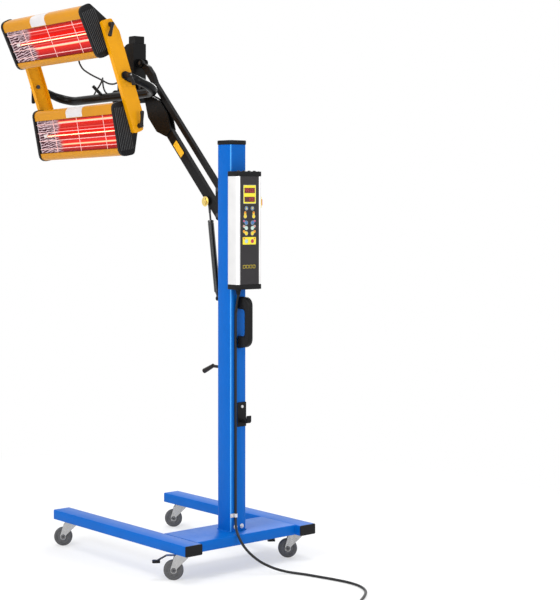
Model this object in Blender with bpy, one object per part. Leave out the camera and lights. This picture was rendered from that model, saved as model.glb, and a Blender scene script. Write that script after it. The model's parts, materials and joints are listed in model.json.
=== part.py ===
# Short-wave infrared paint curing lamp on a wheeled stand, in metres, +Z up, arm reaching toward -X.
import math

import bmesh
import bpy
from mathutils import Euler, Matrix, Vector

# Clearances that every fit takes
GAP = 0.0003
OVERRUN = 0.004
RUNNING = 0.0004

# Counts
ROUND_SIDES = 20
PIN_SIDES = 12
BOLT_SIDES = 10
WHEEL_SIDES = 18
FILLET_STEPS = 3

# Base frame of rectangular tube
LEG_LENGTH = 0.860
LEG_WIDTH = 0.080
LEG_HEIGHT = 0.040
LEG_WALL = 0.003
LEG_CORNER = 0.004
LEG_REAR = 0.119
BASE_WIDTH = 0.658
BEAM_WIDTH = 0.2005
BEAM_REAR = 0.0918
CAP_LIP = 0.004
CAP_PLUG = 0.022

# Column of square tube
COLUMN_SIDE = 0.080
COLUMN_CORNER = 0.008
COLUMN_WALL = 0.003
COLUMN_HEIGHT = 1.489
COLUMN_CAP_HEIGHT = 0.017
COLUMN_CAP_OVERHANG = 0.0025
COLUMN_BOLT_Y = 0.016
COLUMN_BOLT_RADIUS = 0.007
COLUMN_BOLT_HEIGHT = 0.004
COLUMN_BOLT_RISE = 0.018

# Casters
CASTER_HEIGHT = 0.100
CASTER_INSET_REAR = 0.065
CASTER_INSET_FRONT = 0.070
CASTER_TRAIL = 0.033
CASTER_SWIVEL = math.radians(51.57)
WHEEL_RADIUS = 0.0375
WHEEL_WIDTH = 0.023
WHEEL_SHOULDER = 0.005
WHEEL_DISH = 0.003
HUB_RADIUS = 0.012
RIM_RADIUS = 0.026
AXLE_RADIUS = 0.004
AXLE_HEAD_RADIUS = 0.0075
AXLE_HEAD = 0.003
FORK_PLATE = 0.0025
FORK_TOP = 0.0035
FORK_TOP_RADIUS = 0.025
FORK_FOOT_RADIUS = 0.0115
FORK_SKIRT = 0.012
KINGPIN_RADIUS = 0.005
KINGPIN_HEAD_RADIUS = 0.009
KINGPIN_HEAD = 0.003
PEDAL_HINGE_X = -0.020
PEDAL_REACH = 0.113
PEDAL_WIDTH = 0.030
PEDAL_THICKNESS = 0.0025
PEDAL_TIP_LENGTH = 0.030
PEDAL_TIP_THICKNESS = 0.008
PEDAL_DROP = 0.022
PEDAL_PIN_RADIUS = 0.0025

# Control box on the column's rear face
BOX_BOTTOM = 1.074
BOX_HEIGHT = 0.451
BOX_DEPTH = 0.0600
BOX_WIDTH = 0.124
BOX_STANDOFF = 0.0046
BOX_WALL = 0.0025
BOX_CORNER = 0.008
BOX_FRONT_WALL = 0.006
BOX_CAP_HEIGHT = 0.0186
BOX_CAP_OVERHANG = 0.0012
BOX_CAP_PLUG = 0.008
BOX_FOOT_WIDTH = 0.050
BOX_FOOT_HEIGHT = 0.030
BOX_FOOT_INSET = 0.070
PANEL_WIDTH = 0.0946
PANEL_THICKNESS = 0.0017
PANEL_RECESS = 0.0020
WINDOW_DEPTH = 0.0022
KEY_RISE = 0.0007
BEZEL_RISE = 0.0005
SWITCH_PLATE_THICKNESS = 0.0060
SWITCH_PLATE_SIDE = 0.044
SWITCH_PLATE_RISE = 0.3326
KNOB_RADIUS = 0.0130
KNOB_SKIRT = 0.006
KNOB_LENGTH = 0.0200
KNOB_GRIP = 0.008
KNOB_SPINDLE = 0.004
KNOB_SPINDLE_LENGTH = 0.010

# Panel layout, in pixels of a straight view of the box
PANEL_VIEW_LEFT = 391.5
PANEL_VIEW_RIGHT = 531.1
PANEL_VIEW_TOP = 17.5
PANEL_VIEW_BOTTOM = 535.0
KEY_PIXELS = 18.0
ROUND_KEYS = ((442.5, 179.6), (476.9, 180.1), (435.5, 214.4), (484.0, 214.8),
              (442.1, 242.9), (476.6, 243.1), (442.1, 265.8), (476.3, 266.3),
              (442.1, 289.0), (476.3, 289.3))
START_STOP_KEYS = ((442.1, 323.2), (475.9, 323.5))
BEZEL_PIXELS = (425.3, 77.2, 496.7, 159.4)
WINDOW_PIXELS = ((431.0, 89.9, 490.0, 112.9), (431.0, 129.1, 490.0, 151.8))
START_PLATE_PIXELS = (421.5, 305.6, 496.7, 338.1)
PANE_MARGIN_PIXELS = 5.0

# Push handle on the column's rear face
HANDLE_TOP = 1.044
HANDLE_BOTTOM = 0.844
HANDLE_REACH = 0.066
HANDLE_WIDTH = 0.026
HANDLE_Y = 0.004
HANDLE_GRIP = 0.024
HANDLE_FOOT = 0.048
HANDLE_OUTER_FILLET = 0.034
HANDLE_INNER_FILLET = 0.014
HANDLE_EDGE = 0.005

# Cable hanger on the column's rear face
HANGER_BOTTOM = 0.542
HANGER_TOP = 0.636
HANGER_LEFT = -0.007
HANGER_RIGHT = 0.037
HANGER_PLATE = 0.003
HANGER_REACH = 0.046
HANGER_ARM = 0.010
HANGER_ARM_RISE = 0.016
HANGER_LIP = 0.030
HANGER_SCREW_RADIUS = 0.006
HANGER_SCREW_HEIGHT = 0.003
HANGER_SCREW_DROP = 0.017

# Column lever on the front face
LEVER_HEIGHT = 0.763
LEVER_ROD_LENGTH = 0.076
LEVER_ROD_RADIUS = 0.006
LEVER_BOSS_RADIUS = 0.015
LEVER_BOSS = 0.010
LEVER_GRIP_LENGTH = 0.050
LEVER_GRIP_RADIUS = 0.010
LEVER_DROOP = 0.024

# Mains cable
CABLE_RADIUS = 0.005
CABLE_Y = -0.019
CLIP_HEIGHT = 0.204
CLIP_LENGTH = 0.014
CLIP_BAND = 0.0022
CLIP_TAB = 0.016
CLIP_SCREW_RADIUS = 0.004
CLIP_SCREW_HEIGHT = 0.0025
GLAND_RADIUS = 0.011
GLAND_HEIGHT = 0.022
GLAND_NUT = 0.008
GLAND_OFFSET = 0.016
RISER_ROUTE = ((0.0480, 0.985), (0.0556, 1.030))

# Free mains cord on the floor, points of its route after the clip, in the column's frame
CORD_ROUTE = (
    (0.0500, -0.0230, 0.178), (0.0640, -0.0335, 0.1635), (0.0850, -0.0475, 0.1535),
    (0.1050, -0.0560, 0.1390), (0.1240, -0.0560, 0.1160), (0.1400, -0.0480, 0.0940),
    (0.1570, -0.0320, 0.0710), (0.1770, -0.0050, 0.0460), (0.2010, 0.0350, 0.0230),
    (0.2290, 0.0720, 0.0095), (0.2630, 0.0980, 0.0053), (0.3000, 0.1120, 0.0053),
    (0.3600, 0.1280, 0.0053), (0.4250, 0.1440, 0.0053), (0.4900, 0.1530, 0.0053),
    (0.5500, 0.1450, 0.0053), (0.6050, 0.1150, 0.0053), (0.6500, 0.0650, 0.0053),
    (0.6900, 0.0050, 0.0053), (0.7350, -0.0560, 0.0053), (0.7850, -0.0960, 0.0053),
)
COIL_CENTER = (0.830, -0.200)
COIL_TURNS = 10
COIL_INNER = 0.036
COIL_PITCH = 0.0110
COIL_LIFT = 0.0107
COIL_DIP = 0.0045
COIL_POINTS = 20
PLUG_LENGTH = 0.042
PLUG_RADIUS = 0.022
PLUG_NECK = 0.034
PLUG_NECK_RADIUS = 0.0075
PLUG_PIN_LENGTH = 0.019
PLUG_PIN_RADIUS = 0.0024
PLUG_PIN_SPREAD = 0.0095

# Arm, link and gas spring
ARM_BRACKET_PLATE = 0.004
ARM_BRACKET_WIDTH = 0.060
CHEEK_THICKNESS = 0.005
CHEEK_MARGIN = 0.020
PIVOT_REACH = 0.0655
PIVOT_LOW = 1.356
PIVOT_SPACING = 0.100
ARM_LENGTH = 0.728
ARM_ANGLE = math.radians(46.6)
ARM_DEPTH = 0.040
ARM_WIDTH = 0.020
ARM_WALL = 0.002
LINK_DEPTH = 0.022
LINK_WIDTH = 0.018
LINK_BULGE = 0.012
PIN_RADIUS = 0.005
PIN_HEAD_RADIUS = 0.009
PIN_HEAD = 0.004
SPADE_NECK = 0.066
SPADE_TAPER = 0.064
SPADE_WIDE = 0.083
SPADE_FLARE = 0.060
SPADE_HALF_WIDTH = 0.050
SPADE_PLATE = 0.005
SPADE_BITE = 0.0007
SPADE_FILLET = 0.022
NOSE_RADIUS = 0.019
SPRING_LOW_X = -0.083
SPRING_LOW_Z = 1.030
SPRING_HIGH_X = -0.138
SPRING_HIGH_Z = 1.410
SPRING_TUBE_START = 0.026
SPRING_TUBE_END = 0.309
SPRING_TUBE_RADIUS = 0.012
SPRING_BORE = 0.110
SPRING_ROD_RADIUS = 0.004
SPRING_ROD_INSIDE = 0.060
SPRING_EYE_RADIUS = 0.009
SPRING_EYE_WIDTH = 0.010
SPRING_TOP_EYE_RADIUS = 0.0105
SPRING_PIN_RADIUS = 0.003
SPRING_PLAY = 0.0040
SPRING_NECK = 0.007
SPRING_SLOT_START = 0.062
SPRING_SLOT_END = 0.150
EAR_RADIUS = 0.013
NUT_RADIUS = 0.0121
NUT_HEIGHT = 0.009

# Head bracket, kept upright by the link
BRACKET_REACH = 0.0223
BRACKET_DEPTH = 0.112
BRACKET_DROP = 0.06295
BRACKET_HEIGHT = 0.248
BRACKET_HALF_WIDTH = 0.033
BRACKET_WALL = 0.004
BRACKET_CROWN = 0.060
BLOCK_LENGTH = 0.044
BLOCK_HEIGHT = 0.030
BLOCK_HALF_WIDTH = 0.024
LUG_RADIUS = 0.015
FORK_EAR_RADIUS = 0.018
FORK_EAR = 0.006

# Head: yoke, side arms and cassettes
HEAD_ROLL = math.radians(0.9)
HUB_REACH = 0.0873
HUB_DROP = 0.03895
HUB_RADIUS_OUT = 0.028
HUB_STUD_RADIUS = 0.010
HEAD_CENTER_REACH = 0.016
YOKE_RADIUS = 0.016
YOKE_BACK_Y = -0.086
HEAD_PIVOT_Y = -0.250
HEAD_PIVOT_RISE = 0.0577
YOKE_BEND = 0.075
YOKE_TONGUE = 0.008
YOKE_TONGUE_HALF = 0.020
YOKE_TONGUE_LENGTH = 0.040
STUB_OFFSET = -0.068
STUB_RADIUS = 0.007
STUB_LENGTH = 0.070
STUB_LEAN = math.radians(36.0)
SIDE_ARM_INNER = 0.294
SIDE_ARM_OUTER = 0.312
SIDE_ARM_WALL = 0.003
SIDE_ARM_LENGTH = 0.500
SIDE_ARM_FRONT = 0.033
SIDE_ARM_REAR = 0.036
SIDE_ARM_TIP_REAR = 0.012
SIDE_ARM_TAPER = 0.078
SIDE_ARM_TIP_FILLET = 0.016
HEAD_TILT = math.radians(19.4)
CASSETTE_SPACING = 0.418
UPPER_TILT = math.radians(25.4)
LOWER_TILT = math.radians(10.8)
CASSETTE_HALF = 0.2905
CASSETTE_CAP = 0.014
CASSETTE_FRONT = 0.095
CASSETTE_TOP = 0.106
CASSETTE_BOTTOM = -0.107
CASSETTE_TOP_BACK = 0.040
CASSETTE_BOTTOM_BACK = 0.027
CASSETTE_MIDDLE_BACK = 0.022
CASSETTE_WALL = 0.002
CASSETTE_INSET = 0.003
CAP_EAR_RADIUS = 0.014
CAP_RIB = 0.0015
CAP_RIB_COUNT = 8
OPENING_TOP = 0.0645
OPENING_BOTTOM = -0.0745
OPENING_LIP = 0.008
OPENING_PLANE = 0.087
REFLECTOR_WALL = 0.0012
REFLECTOR_DEPTH = 0.046
REFLECTOR_END = 0.0015
REFLECTOR_FIT = 0.0022
REFLECTOR_POINTS = 12
LAMP_RADIUS = 0.0055
LAMP_END_RADIUS = 0.0080
LAMP_END_LENGTH = 0.026
LAMP_FORWARD = 0.058
GUARD_WIRE = 0.0013
GUARD_SETBACK = 0.005
GUARD_CROSS_WIRES = 3
GUARD_LONG_WIRES = 4
PIVOT_STUD_RADIUS = 0.004
PIVOT_STUD_LENGTH = 0.010
PIVOT_BOSS_RADIUS = 0.012
CLAMP_HUB_RADIUS = 0.010
CLAMP_HUB_LENGTH = 0.020
YOKE_CLAMP_HUB_LENGTH = 0.034
CLAMP_LEVER_RADIUS = 0.005
CLAMP_LEVER_END_RADIUS = 0.0065
BOLT_HEAD_RADIUS = 0.0085
BOLT_HEAD = 0.006
UPPER_LEVER = (0.056, math.radians(-66.0))
LOWER_LEVER = (0.060, math.radians(85.0))
RIGHT_LEVER = (0.044, math.radians(-109.0))
LEFT_LEVER = (0.070, math.radians(-99.0))
LEVER_LEAN = math.radians(12.0)

# Leads of the two cassettes, points in the column's frame
LEAD_RADIUS = 0.0035
UPPER_LEAD = (
    (-0.6090, -0.2960, 1.9990), (-0.6085, -0.2950, 1.9820), (-0.6030, -0.2930, 1.9660),
    (-0.5870, -0.2890, 1.9460), (-0.5620, -0.2820, 1.9300), (-0.5360, -0.2750, 1.9165),
    (-0.5100, -0.2680, 1.9050), (-0.4866, -0.2620, 1.8943), (-0.4660, -0.2600, 1.8855),
    (-0.4450, -0.2590, 1.8795), (-0.4188, -0.2580, 1.8776), (-0.3950, -0.2570, 1.8820),
    (-0.3760, -0.2560, 1.8860), (-0.3615, -0.2560, 1.8870),
)
LOWER_LEAD = (
    (-0.6940, -0.0930, 1.8626), (-0.7060, -0.0930, 1.8712), (-0.7180, -0.0920, 1.8880),
    (-0.7260, -0.0900, 1.9080), (-0.7330, -0.0860, 1.9230), (-0.7409, -0.0800, 1.9300),
    (-0.7500, -0.0760, 1.9230), (-0.7650, -0.0740, 1.9070), (-0.7830, -0.0720, 1.8930),
    (-0.8000, -0.0700, 1.8820), (-0.8180, -0.0660, 1.8690), (-0.8360, -0.0620, 1.8560),
    (-0.8500, -0.0580, 1.8430),
)

for old in list(bpy.data.objects):
    bpy.data.objects.remove(old, do_unlink=True)


# Materials
def paint(name, color, roughness, metallic=0.0):
    made = bpy.data.materials.new(name)
    made.use_nodes = True
    shader = made.node_tree.nodes["Principled BSDF"]
    shader.inputs["Base Color"].default_value = (*color, 1.0)
    shader.inputs["Roughness"].default_value = roughness
    shader.inputs["Metallic"].default_value = metallic
    return made


BLUE = paint("blue_powder_coat", (0.010, 0.130, 0.680), 0.35)
BLACK_PAINT = paint("black_powder_coat", (0.018, 0.018, 0.019), 0.45)
BLACK_PLASTIC = paint("black_plastic", (0.022, 0.022, 0.023), 0.55)
YELLOW = paint("yellow_powder_coat", (0.780, 0.360, 0.008), 0.40)
YELLOW_PLASTIC = paint("yellow_plastic", (0.850, 0.680, 0.020), 0.40)
RED_PLASTIC = paint("red_plastic", (0.600, 0.010, 0.020), 0.35)
ALUMINIUM = paint("anodised_aluminium", (0.620, 0.620, 0.630), 0.40, 0.9)
ZINC = paint("zinc_plate", (0.620, 0.620, 0.640), 0.35, 0.9)
STEEL = paint("stainless_wire", (0.700, 0.660, 0.640), 0.30, 1.0)
RUBBER = paint("grey_rubber", (0.090, 0.090, 0.092), 0.75)
CABLE = paint("black_cable", (0.020, 0.020, 0.021), 0.60)
PANEL = paint("dark_membrane", (0.028, 0.028, 0.030), 0.45)
WINDOW = paint("display_window", (0.060, 0.004, 0.004), 0.10)
REFLECTOR = paint("gold_reflector", (0.800, 0.160, 0.080), 0.25, 0.9)
QUARTZ = paint("glowing_quartz", (1.000, 0.820, 0.480), 0.10)


# Outlines
def rounded(corners, steps=FILLET_STEPS):
    points = []
    for index, (a, b, radius) in enumerate(corners):
        here = Vector((a, b))
        before = Vector(corners[index - 1][:2]) - here
        after = Vector(corners[(index + 1) % len(corners)][:2]) - here
        if radius <= 0:
            points.append((a, b))
            continue
        half = before.angle(after) / 2
        reach = min(radius / math.tan(half), before.length * 0.49, after.length * 0.49)
        radius = reach * math.tan(half)
        middle = here + (before.normalized() + after.normalized()).normalized() * radius / math.sin(half)
        start = here + before.normalized() * reach - middle
        end = here + after.normalized() * reach - middle
        sweep = start.angle_signed(end)
        for step in range(steps + 1):
            turned_by = Matrix.Rotation(-sweep * step / steps, 2)
            points.append(tuple(middle + turned_by @ start))
    return points


def rectangle(left, right, low, high, radius=0.0, steps=FILLET_STEPS):
    return rounded(((left, low, radius), (right, low, radius), (right, high, radius), (left, high, radius)), steps)


def ring(a, b, radius, sides=ROUND_SIDES, turn=0.0):
    angles = [turn + 2 * math.pi * step / sides for step in range(sides)]
    return [(a + radius * math.cos(angle), b + radius * math.sin(angle)) for angle in angles]


def capsule(start, end, start_radius, end_radius, steps=8):
    start, end = Vector(start), Vector(end)
    along = end - start
    lean = math.asin((start_radius - end_radius) / along.length)
    heading = math.atan2(along.y, along.x)
    points = []
    for center, radius, first in ((end, end_radius, heading - math.pi / 2 + lean),
                                  (start, start_radius, heading + math.pi / 2 - lean)):
        sweep = math.pi - 2 * lean if radius == end_radius and center == end else math.pi + 2 * lean
        for step in range(steps + 1):
            angle = first + sweep * step / steps
            points.append((center.x + radius * math.cos(angle), center.y + radius * math.sin(angle)))
    return points


# Solids
def solid(bm):
    bmesh.ops.remove_doubles(bm, verts=bm.verts, dist=GAP / 100)
    bmesh.ops.recalc_face_normals(bm, faces=bm.faces)
    mesh = bpy.data.meshes.new("solid")
    bm.to_mesh(mesh)
    bm.free()
    made = bpy.data.objects.new("solid", mesh)
    bpy.context.scene.collection.objects.link(made)
    return made


def prism(outline, start, end, axis):
    placed = {"X": lambda a, b, t: (t, a, b), "Y": lambda a, b, t: (a, t, b), "Z": lambda a, b, t: (a, b, t)}[axis]
    bm = bmesh.new()
    base = bm.faces.new([bm.verts.new(placed(a, b, start)) for a, b in outline])
    top = bmesh.ops.extrude_face_region(bm, geom=[base])
    shift = Vector(placed(0, 0, end)) - Vector(placed(0, 0, start))
    moved = [item for item in top["geom"] if isinstance(item, bmesh.types.BMVert)]
    bmesh.ops.translate(bm, verts=moved, vec=shift)
    return solid(bm)


def block(low, high):
    return prism(rectangle(low[0], high[0], low[1], high[1]), low[2], high[2], "Z")


def bar(start, end, radius, sides=PIN_SIDES, end_radius=None, turn=0.0):
    start, end = Vector(start), Vector(end)
    along = end - start
    bm = bmesh.new()
    place = Matrix.Translation((start + end) / 2) @ along.to_track_quat("Z", "Y").to_matrix().to_4x4()
    bmesh.ops.create_cone(bm, cap_ends=True, segments=sides, radius1=radius,
                          radius2=radius if end_radius is None else end_radius,
                          depth=along.length, matrix=place @ Matrix.Rotation(turn, 4, "Z"))
    return solid(bm)


def turned(profile, sides=ROUND_SIDES, turn=0.0, closed=False):
    bm = bmesh.new()
    rings = []
    for radius, height in profile:
        if radius == 0:
            rings.append([bm.verts.new((0, 0, height))])
        else:
            rings.append([bm.verts.new((x, y, height)) for x, y in ring(0, 0, radius, sides, turn)])
    pairs = list(zip(rings, rings[1:]))
    if closed:
        pairs.append((rings[-1], rings[0]))
    for low, high in pairs:
        for step in range(sides):
            after = (step + 1) % sides
            corners = [low[step % len(low)], low[after % len(low)], high[after % len(high)], high[step % len(high)]]
            bm.faces.new(list(dict.fromkeys(corners)))
    return solid(bm)


def swept(points, radius, resolution=2):
    curve = bpy.data.curves.new("path", "CURVE")
    curve.dimensions = "3D"
    curve.bevel_depth = radius
    curve.bevel_resolution = resolution
    curve.use_fill_caps = True
    spline = curve.splines.new("POLY")
    spline.points.add(len(points) - 1)
    for point, place in zip(spline.points, points):
        point.co = (*place, 1.0)
    made = bpy.data.objects.new("path", curve)
    bpy.context.scene.collection.objects.link(made)
    return made


def meshed(made):
    graph = bpy.context.evaluated_depsgraph_get()
    mesh = bpy.data.meshes.new_from_object(made.evaluated_get(graph))
    plain = bpy.data.objects.new("solid", mesh)
    bpy.context.scene.collection.objects.link(plain)
    bpy.data.objects.remove(made, do_unlink=True)
    return plain


def smooth_path(route, spacing):
    """Points of a smooth curve through the route, at most one spacing apart."""
    knots = [Vector(point) for point in route]
    knots = [2 * knots[0] - knots[1], *knots, 2 * knots[-1] - knots[-2]]
    points = []
    for before, start, end, after in zip(knots, knots[1:], knots[2:], knots[3:]):
        count = max(1, math.ceil((end - start).length / spacing))
        for step in range(count):
            t = step / count
            points.append(0.5 * (2 * start + (end - before) * t
                                 + (2 * before - 5 * start + 4 * end - after) * t * t
                                 + (3 * start - before - 3 * end + after) * t * t * t))
    return [tuple(point) for point in [*points, knots[-2]]]


def combined(body, tools, operation):
    for tool in tools:
        modifier = body.modifiers.new("combine", "BOOLEAN")
        modifier.operation = operation
        modifier.object = tool
    graph = bpy.context.evaluated_depsgraph_get()
    mesh = bpy.data.meshes.new_from_object(body.evaluated_get(graph))
    body.modifiers.clear()
    body.data = mesh
    for tool in tools:
        bpy.data.objects.remove(tool, do_unlink=True)
    return body


def cut(body, *tools):
    return combined(body, tools, "DIFFERENCE")


def join(body, *tools):
    return combined(body, tools, "UNION")


def moved(made, place):
    made.data.transform(place)
    return made


def softened(made, width, segments=2):
    """Bevels every sharp edge of a solid."""
    bm = bmesh.new()
    bm.from_mesh(made.data)
    sharp = [edge for edge in bm.edges if edge.calc_face_angle(0.0) > math.radians(40)]
    bmesh.ops.bevel(bm, geom=sharp, offset=width, segments=segments, profile=0.5, affect="EDGES", clamp_overlap=True)
    bm.to_mesh(made.data)
    bm.free()
    return made


def empty(name, parent=None, location=(0, 0, 0), rotation=(0, 0, 0)):
    made = bpy.data.objects.new(name, None)
    bpy.context.scene.collection.objects.link(made)
    made.empty_display_size = COLUMN_SIDE
    made.parent = parent
    made.location = location
    made.rotation_euler = Euler(rotation)
    return made


def piece(name, made, look, parent, pivot=(0, 0, 0), rotation=(0, 0, 0)):
    """Names a solid that was drawn round its own pivot and hangs it on its parent."""
    made.name = name
    made.data.name = name
    made.data.materials.clear()
    made.data.materials.append(look)
    made.parent = parent
    made.location = pivot
    made.rotation_euler = Euler(rotation)
    if made.type == "MESH":
        made.data.shade_smooth()
        made.data.set_sharp_from_angle(angle=math.radians(35))
    return made


stand = empty("stand")

# Base frame
LEG_OFFSET = (BASE_WIDTH - LEG_WIDTH) / 2
LEG_FRONT = LEG_REAR - LEG_LENGTH
LEG_TOP = CASTER_HEIGHT + LEG_HEIGHT
CASTER_REAR_X = LEG_REAR - CASTER_INSET_REAR
CASTER_FRONT_X = LEG_FRONT + CASTER_INSET_FRONT


def kingpin_hole(x, y):
    return bar((x, y, CASTER_HEIGHT - OVERRUN), (x, y, CASTER_HEIGHT + LEG_WALL + OVERRUN), KINGPIN_RADIUS + RUNNING)


def tube_inside(center, width, low, high, wall, corner):
    inner = max(corner - wall, corner / 4)
    return rectangle(center - width / 2 + wall, center + width / 2 - wall, low + wall, high - wall, inner, 2)


for side, place in (("near", -1), ("far", 1)):
    middle = place * LEG_OFFSET
    outline = rectangle(middle - LEG_WIDTH / 2, middle + LEG_WIDTH / 2, CASTER_HEIGHT, LEG_TOP, LEG_CORNER, 2)
    leg = prism(outline, LEG_FRONT, LEG_REAR, "X")
    inside = tube_inside(middle, LEG_WIDTH, CASTER_HEIGHT, LEG_TOP, LEG_WALL, LEG_CORNER)
    leg = cut(leg, prism(inside, LEG_FRONT + LEG_WALL, LEG_REAR + OVERRUN, "X"))
    for x in (CASTER_REAR_X, CASTER_FRONT_X):
        leg = cut(leg, kingpin_hole(x, middle))
    piece(f"{side}_leg", leg, BLUE, stand)
    lip = prism(outline, LEG_REAR + GAP, LEG_REAR + GAP + CAP_LIP, "X")
    plug = tube_inside(middle, LEG_WIDTH, CASTER_HEIGHT, LEG_TOP, LEG_WALL + GAP, LEG_CORNER)
    plug = prism(plug, LEG_REAR - CAP_PLUG, LEG_REAR + GAP + CAP_LIP / 2, "X")
    piece(f"{side}_leg_cap", join(lip, plug), BLACK_PLASTIC, stand)

BEAM_END = LEG_OFFSET - LEG_WIDTH / 2 - GAP
BEAM_FRONT = BEAM_REAR - BEAM_WIDTH
beam = prism(rectangle(BEAM_FRONT, BEAM_REAR, CASTER_HEIGHT, LEG_TOP, LEG_CORNER, 2), -BEAM_END, BEAM_END, "Y")
beam_inside = rectangle(BEAM_FRONT + LEG_WALL, BEAM_REAR - LEG_WALL, CASTER_HEIGHT + LEG_WALL, LEG_TOP - LEG_WALL)
beam = cut(beam, prism(beam_inside, -BEAM_END - OVERRUN, BEAM_END + OVERRUN, "Y"))
piece("cross_beam", beam, BLUE, stand)

# Column
COLUMN_FOOT = LEG_TOP + GAP
COLUMN_TOP = LEG_TOP + COLUMN_HEIGHT
COLUMN_HALF = COLUMN_SIDE / 2
column_outline = rectangle(-COLUMN_HALF, COLUMN_HALF, -COLUMN_HALF, COLUMN_HALF, COLUMN_CORNER)
column_hollow = tube_inside(0, COLUMN_SIDE, -COLUMN_HALF, COLUMN_HALF, COLUMN_WALL, COLUMN_CORNER)
column = prism(column_outline, COLUMN_FOOT, COLUMN_TOP, "Z")
column = cut(column, prism(column_hollow, COLUMN_FOOT - OVERRUN, COLUMN_TOP + OVERRUN, "Z"))
bolt_z = LEG_TOP + COLUMN_BOLT_RISE
bolts = [bar((COLUMN_HALF - COLUMN_WALL / 2, y, bolt_z), (COLUMN_HALF + COLUMN_BOLT_HEIGHT, y, bolt_z),
             COLUMN_BOLT_RADIUS, 12, COLUMN_BOLT_RADIUS - COLUMN_BOLT_HEIGHT / 3)
         for y in (-COLUMN_BOLT_Y, COLUMN_BOLT_Y)]
piece("column", join(column, *bolts), BLUE, stand)

CAP_HALF = COLUMN_HALF + COLUMN_CAP_OVERHANG
cap_outline = rectangle(-CAP_HALF, CAP_HALF, -CAP_HALF, CAP_HALF, COLUMN_CORNER + COLUMN_CAP_OVERHANG)
cap = prism(cap_outline, COLUMN_TOP + GAP, COLUMN_TOP + COLUMN_CAP_HEIGHT, "Z")
cap = softened(cap, COLUMN_CAP_OVERHANG, 2)
cap_plug = tube_inside(0, COLUMN_SIDE, -COLUMN_HALF, COLUMN_HALF, COLUMN_WALL + GAP, COLUMN_CORNER)
cap = join(cap, prism(cap_plug, COLUMN_TOP - CAP_PLUG, COLUMN_TOP + COLUMN_CAP_HEIGHT / 2, "Z"))
piece("column_cap", cap, BLACK_PLASTIC, stand)

# Casters: each hangs on a swivel empty and trails toward its own -X
AXLE_DROP = CASTER_HEIGHT - WHEEL_RADIUS
FORK_INNER = WHEEL_WIDTH / 2 + RUNNING
FORK_OUTER = FORK_INNER + FORK_PLATE
FORK_HIGH = -GAP
FORK_LOW = FORK_HIGH - FORK_TOP


def wheel():
    half = WHEEL_WIDTH / 2
    side = [(WHEEL_RADIUS - WHEEL_SHOULDER, half), (RIM_RADIUS, half), (RIM_RADIUS - WHEEL_DISH, half - WHEEL_DISH),
            (HUB_RADIUS, half - WHEEL_DISH), (HUB_RADIUS, half), (AXLE_RADIUS + RUNNING, half)]
    crown = [(WHEEL_RADIUS, -half + WHEEL_SHOULDER), (WHEEL_RADIUS, half - WHEEL_SHOULDER)]
    profile = [*crown, *side, *[(radius, -height) for radius, height in reversed(side)]]
    made = turned(profile, WHEEL_SIDES, math.pi / 2, closed=True)
    return moved(made, Matrix.Rotation(math.pi / 2, 4, "X"))


def kingpin():
    """The swivel's pin, turning in the hole in the leg's wall and headed at both ends."""
    above = LEG_WALL + GAP
    neck = bar((0, 0, FORK_LOW - KINGPIN_HEAD / 2), (0, 0, above + KINGPIN_HEAD / 2), KINGPIN_RADIUS)
    below = bar((0, 0, FORK_LOW - KINGPIN_HEAD), (0, 0, FORK_LOW + FORK_TOP / 2), KINGPIN_HEAD_RADIUS)
    return join(neck, below, bar((0, 0, above), (0, 0, above + KINGPIN_HEAD), KINGPIN_HEAD_RADIUS))


def fork(braked):
    made = bar((0, 0, FORK_LOW), (0, 0, FORK_HIGH), FORK_TOP_RADIUS, PIN_SIDES)
    plate = rounded(((FORK_TOP_RADIUS * 0.86, FORK_LOW + FORK_TOP / 2, 0),
                     (FORK_TOP_RADIUS * 0.86, FORK_LOW - FORK_SKIRT, FORK_TOP),
                     (-CASTER_TRAIL + FORK_FOOT_RADIUS, -AXLE_DROP + FORK_FOOT_RADIUS / 2, FORK_FOOT_RADIUS),
                     (-CASTER_TRAIL + FORK_FOOT_RADIUS, -AXLE_DROP - FORK_FOOT_RADIUS, FORK_FOOT_RADIUS * 0.9),
                     (-CASTER_TRAIL - FORK_FOOT_RADIUS, -AXLE_DROP - FORK_FOOT_RADIUS, FORK_FOOT_RADIUS * 0.9),
                     (-CASTER_TRAIL - FORK_FOOT_RADIUS, -AXLE_DROP + FORK_FOOT_RADIUS / 2, FORK_FOOT_RADIUS),
                     (-FORK_TOP_RADIUS * 1.3, FORK_LOW - FORK_SKIRT, FORK_TOP),
                     (-FORK_TOP_RADIUS * 0.86, FORK_LOW + FORK_TOP / 2, 0)), 2)
    for side in (-1, 1):
        made = join(made, prism(plate, side * FORK_INNER, side * FORK_OUTER, "Y"))
    axle_end = FORK_OUTER + AXLE_HEAD
    axle = (-CASTER_TRAIL, -AXLE_DROP)
    made = join(made, bar((axle[0], -axle_end, axle[1]), (axle[0], axle_end, axle[1]), AXLE_RADIUS, 12))
    for side in (-1, 1):
        made = join(made, bar((axle[0], side * (FORK_OUTER - FORK_PLATE / 2), axle[1]),
                              (axle[0], side * axle_end, axle[1]), AXLE_HEAD_RADIUS, 6))
    if braked:
        pin = (PEDAL_HINGE_X, FORK_LOW - FORK_SKIRT / 2)
        made = join(made, bar((pin[0], -FORK_OUTER, pin[1]), (pin[0], FORK_OUTER, pin[1]), PEDAL_PIN_RADIUS, 12))
    return join(made, kingpin())


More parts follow.
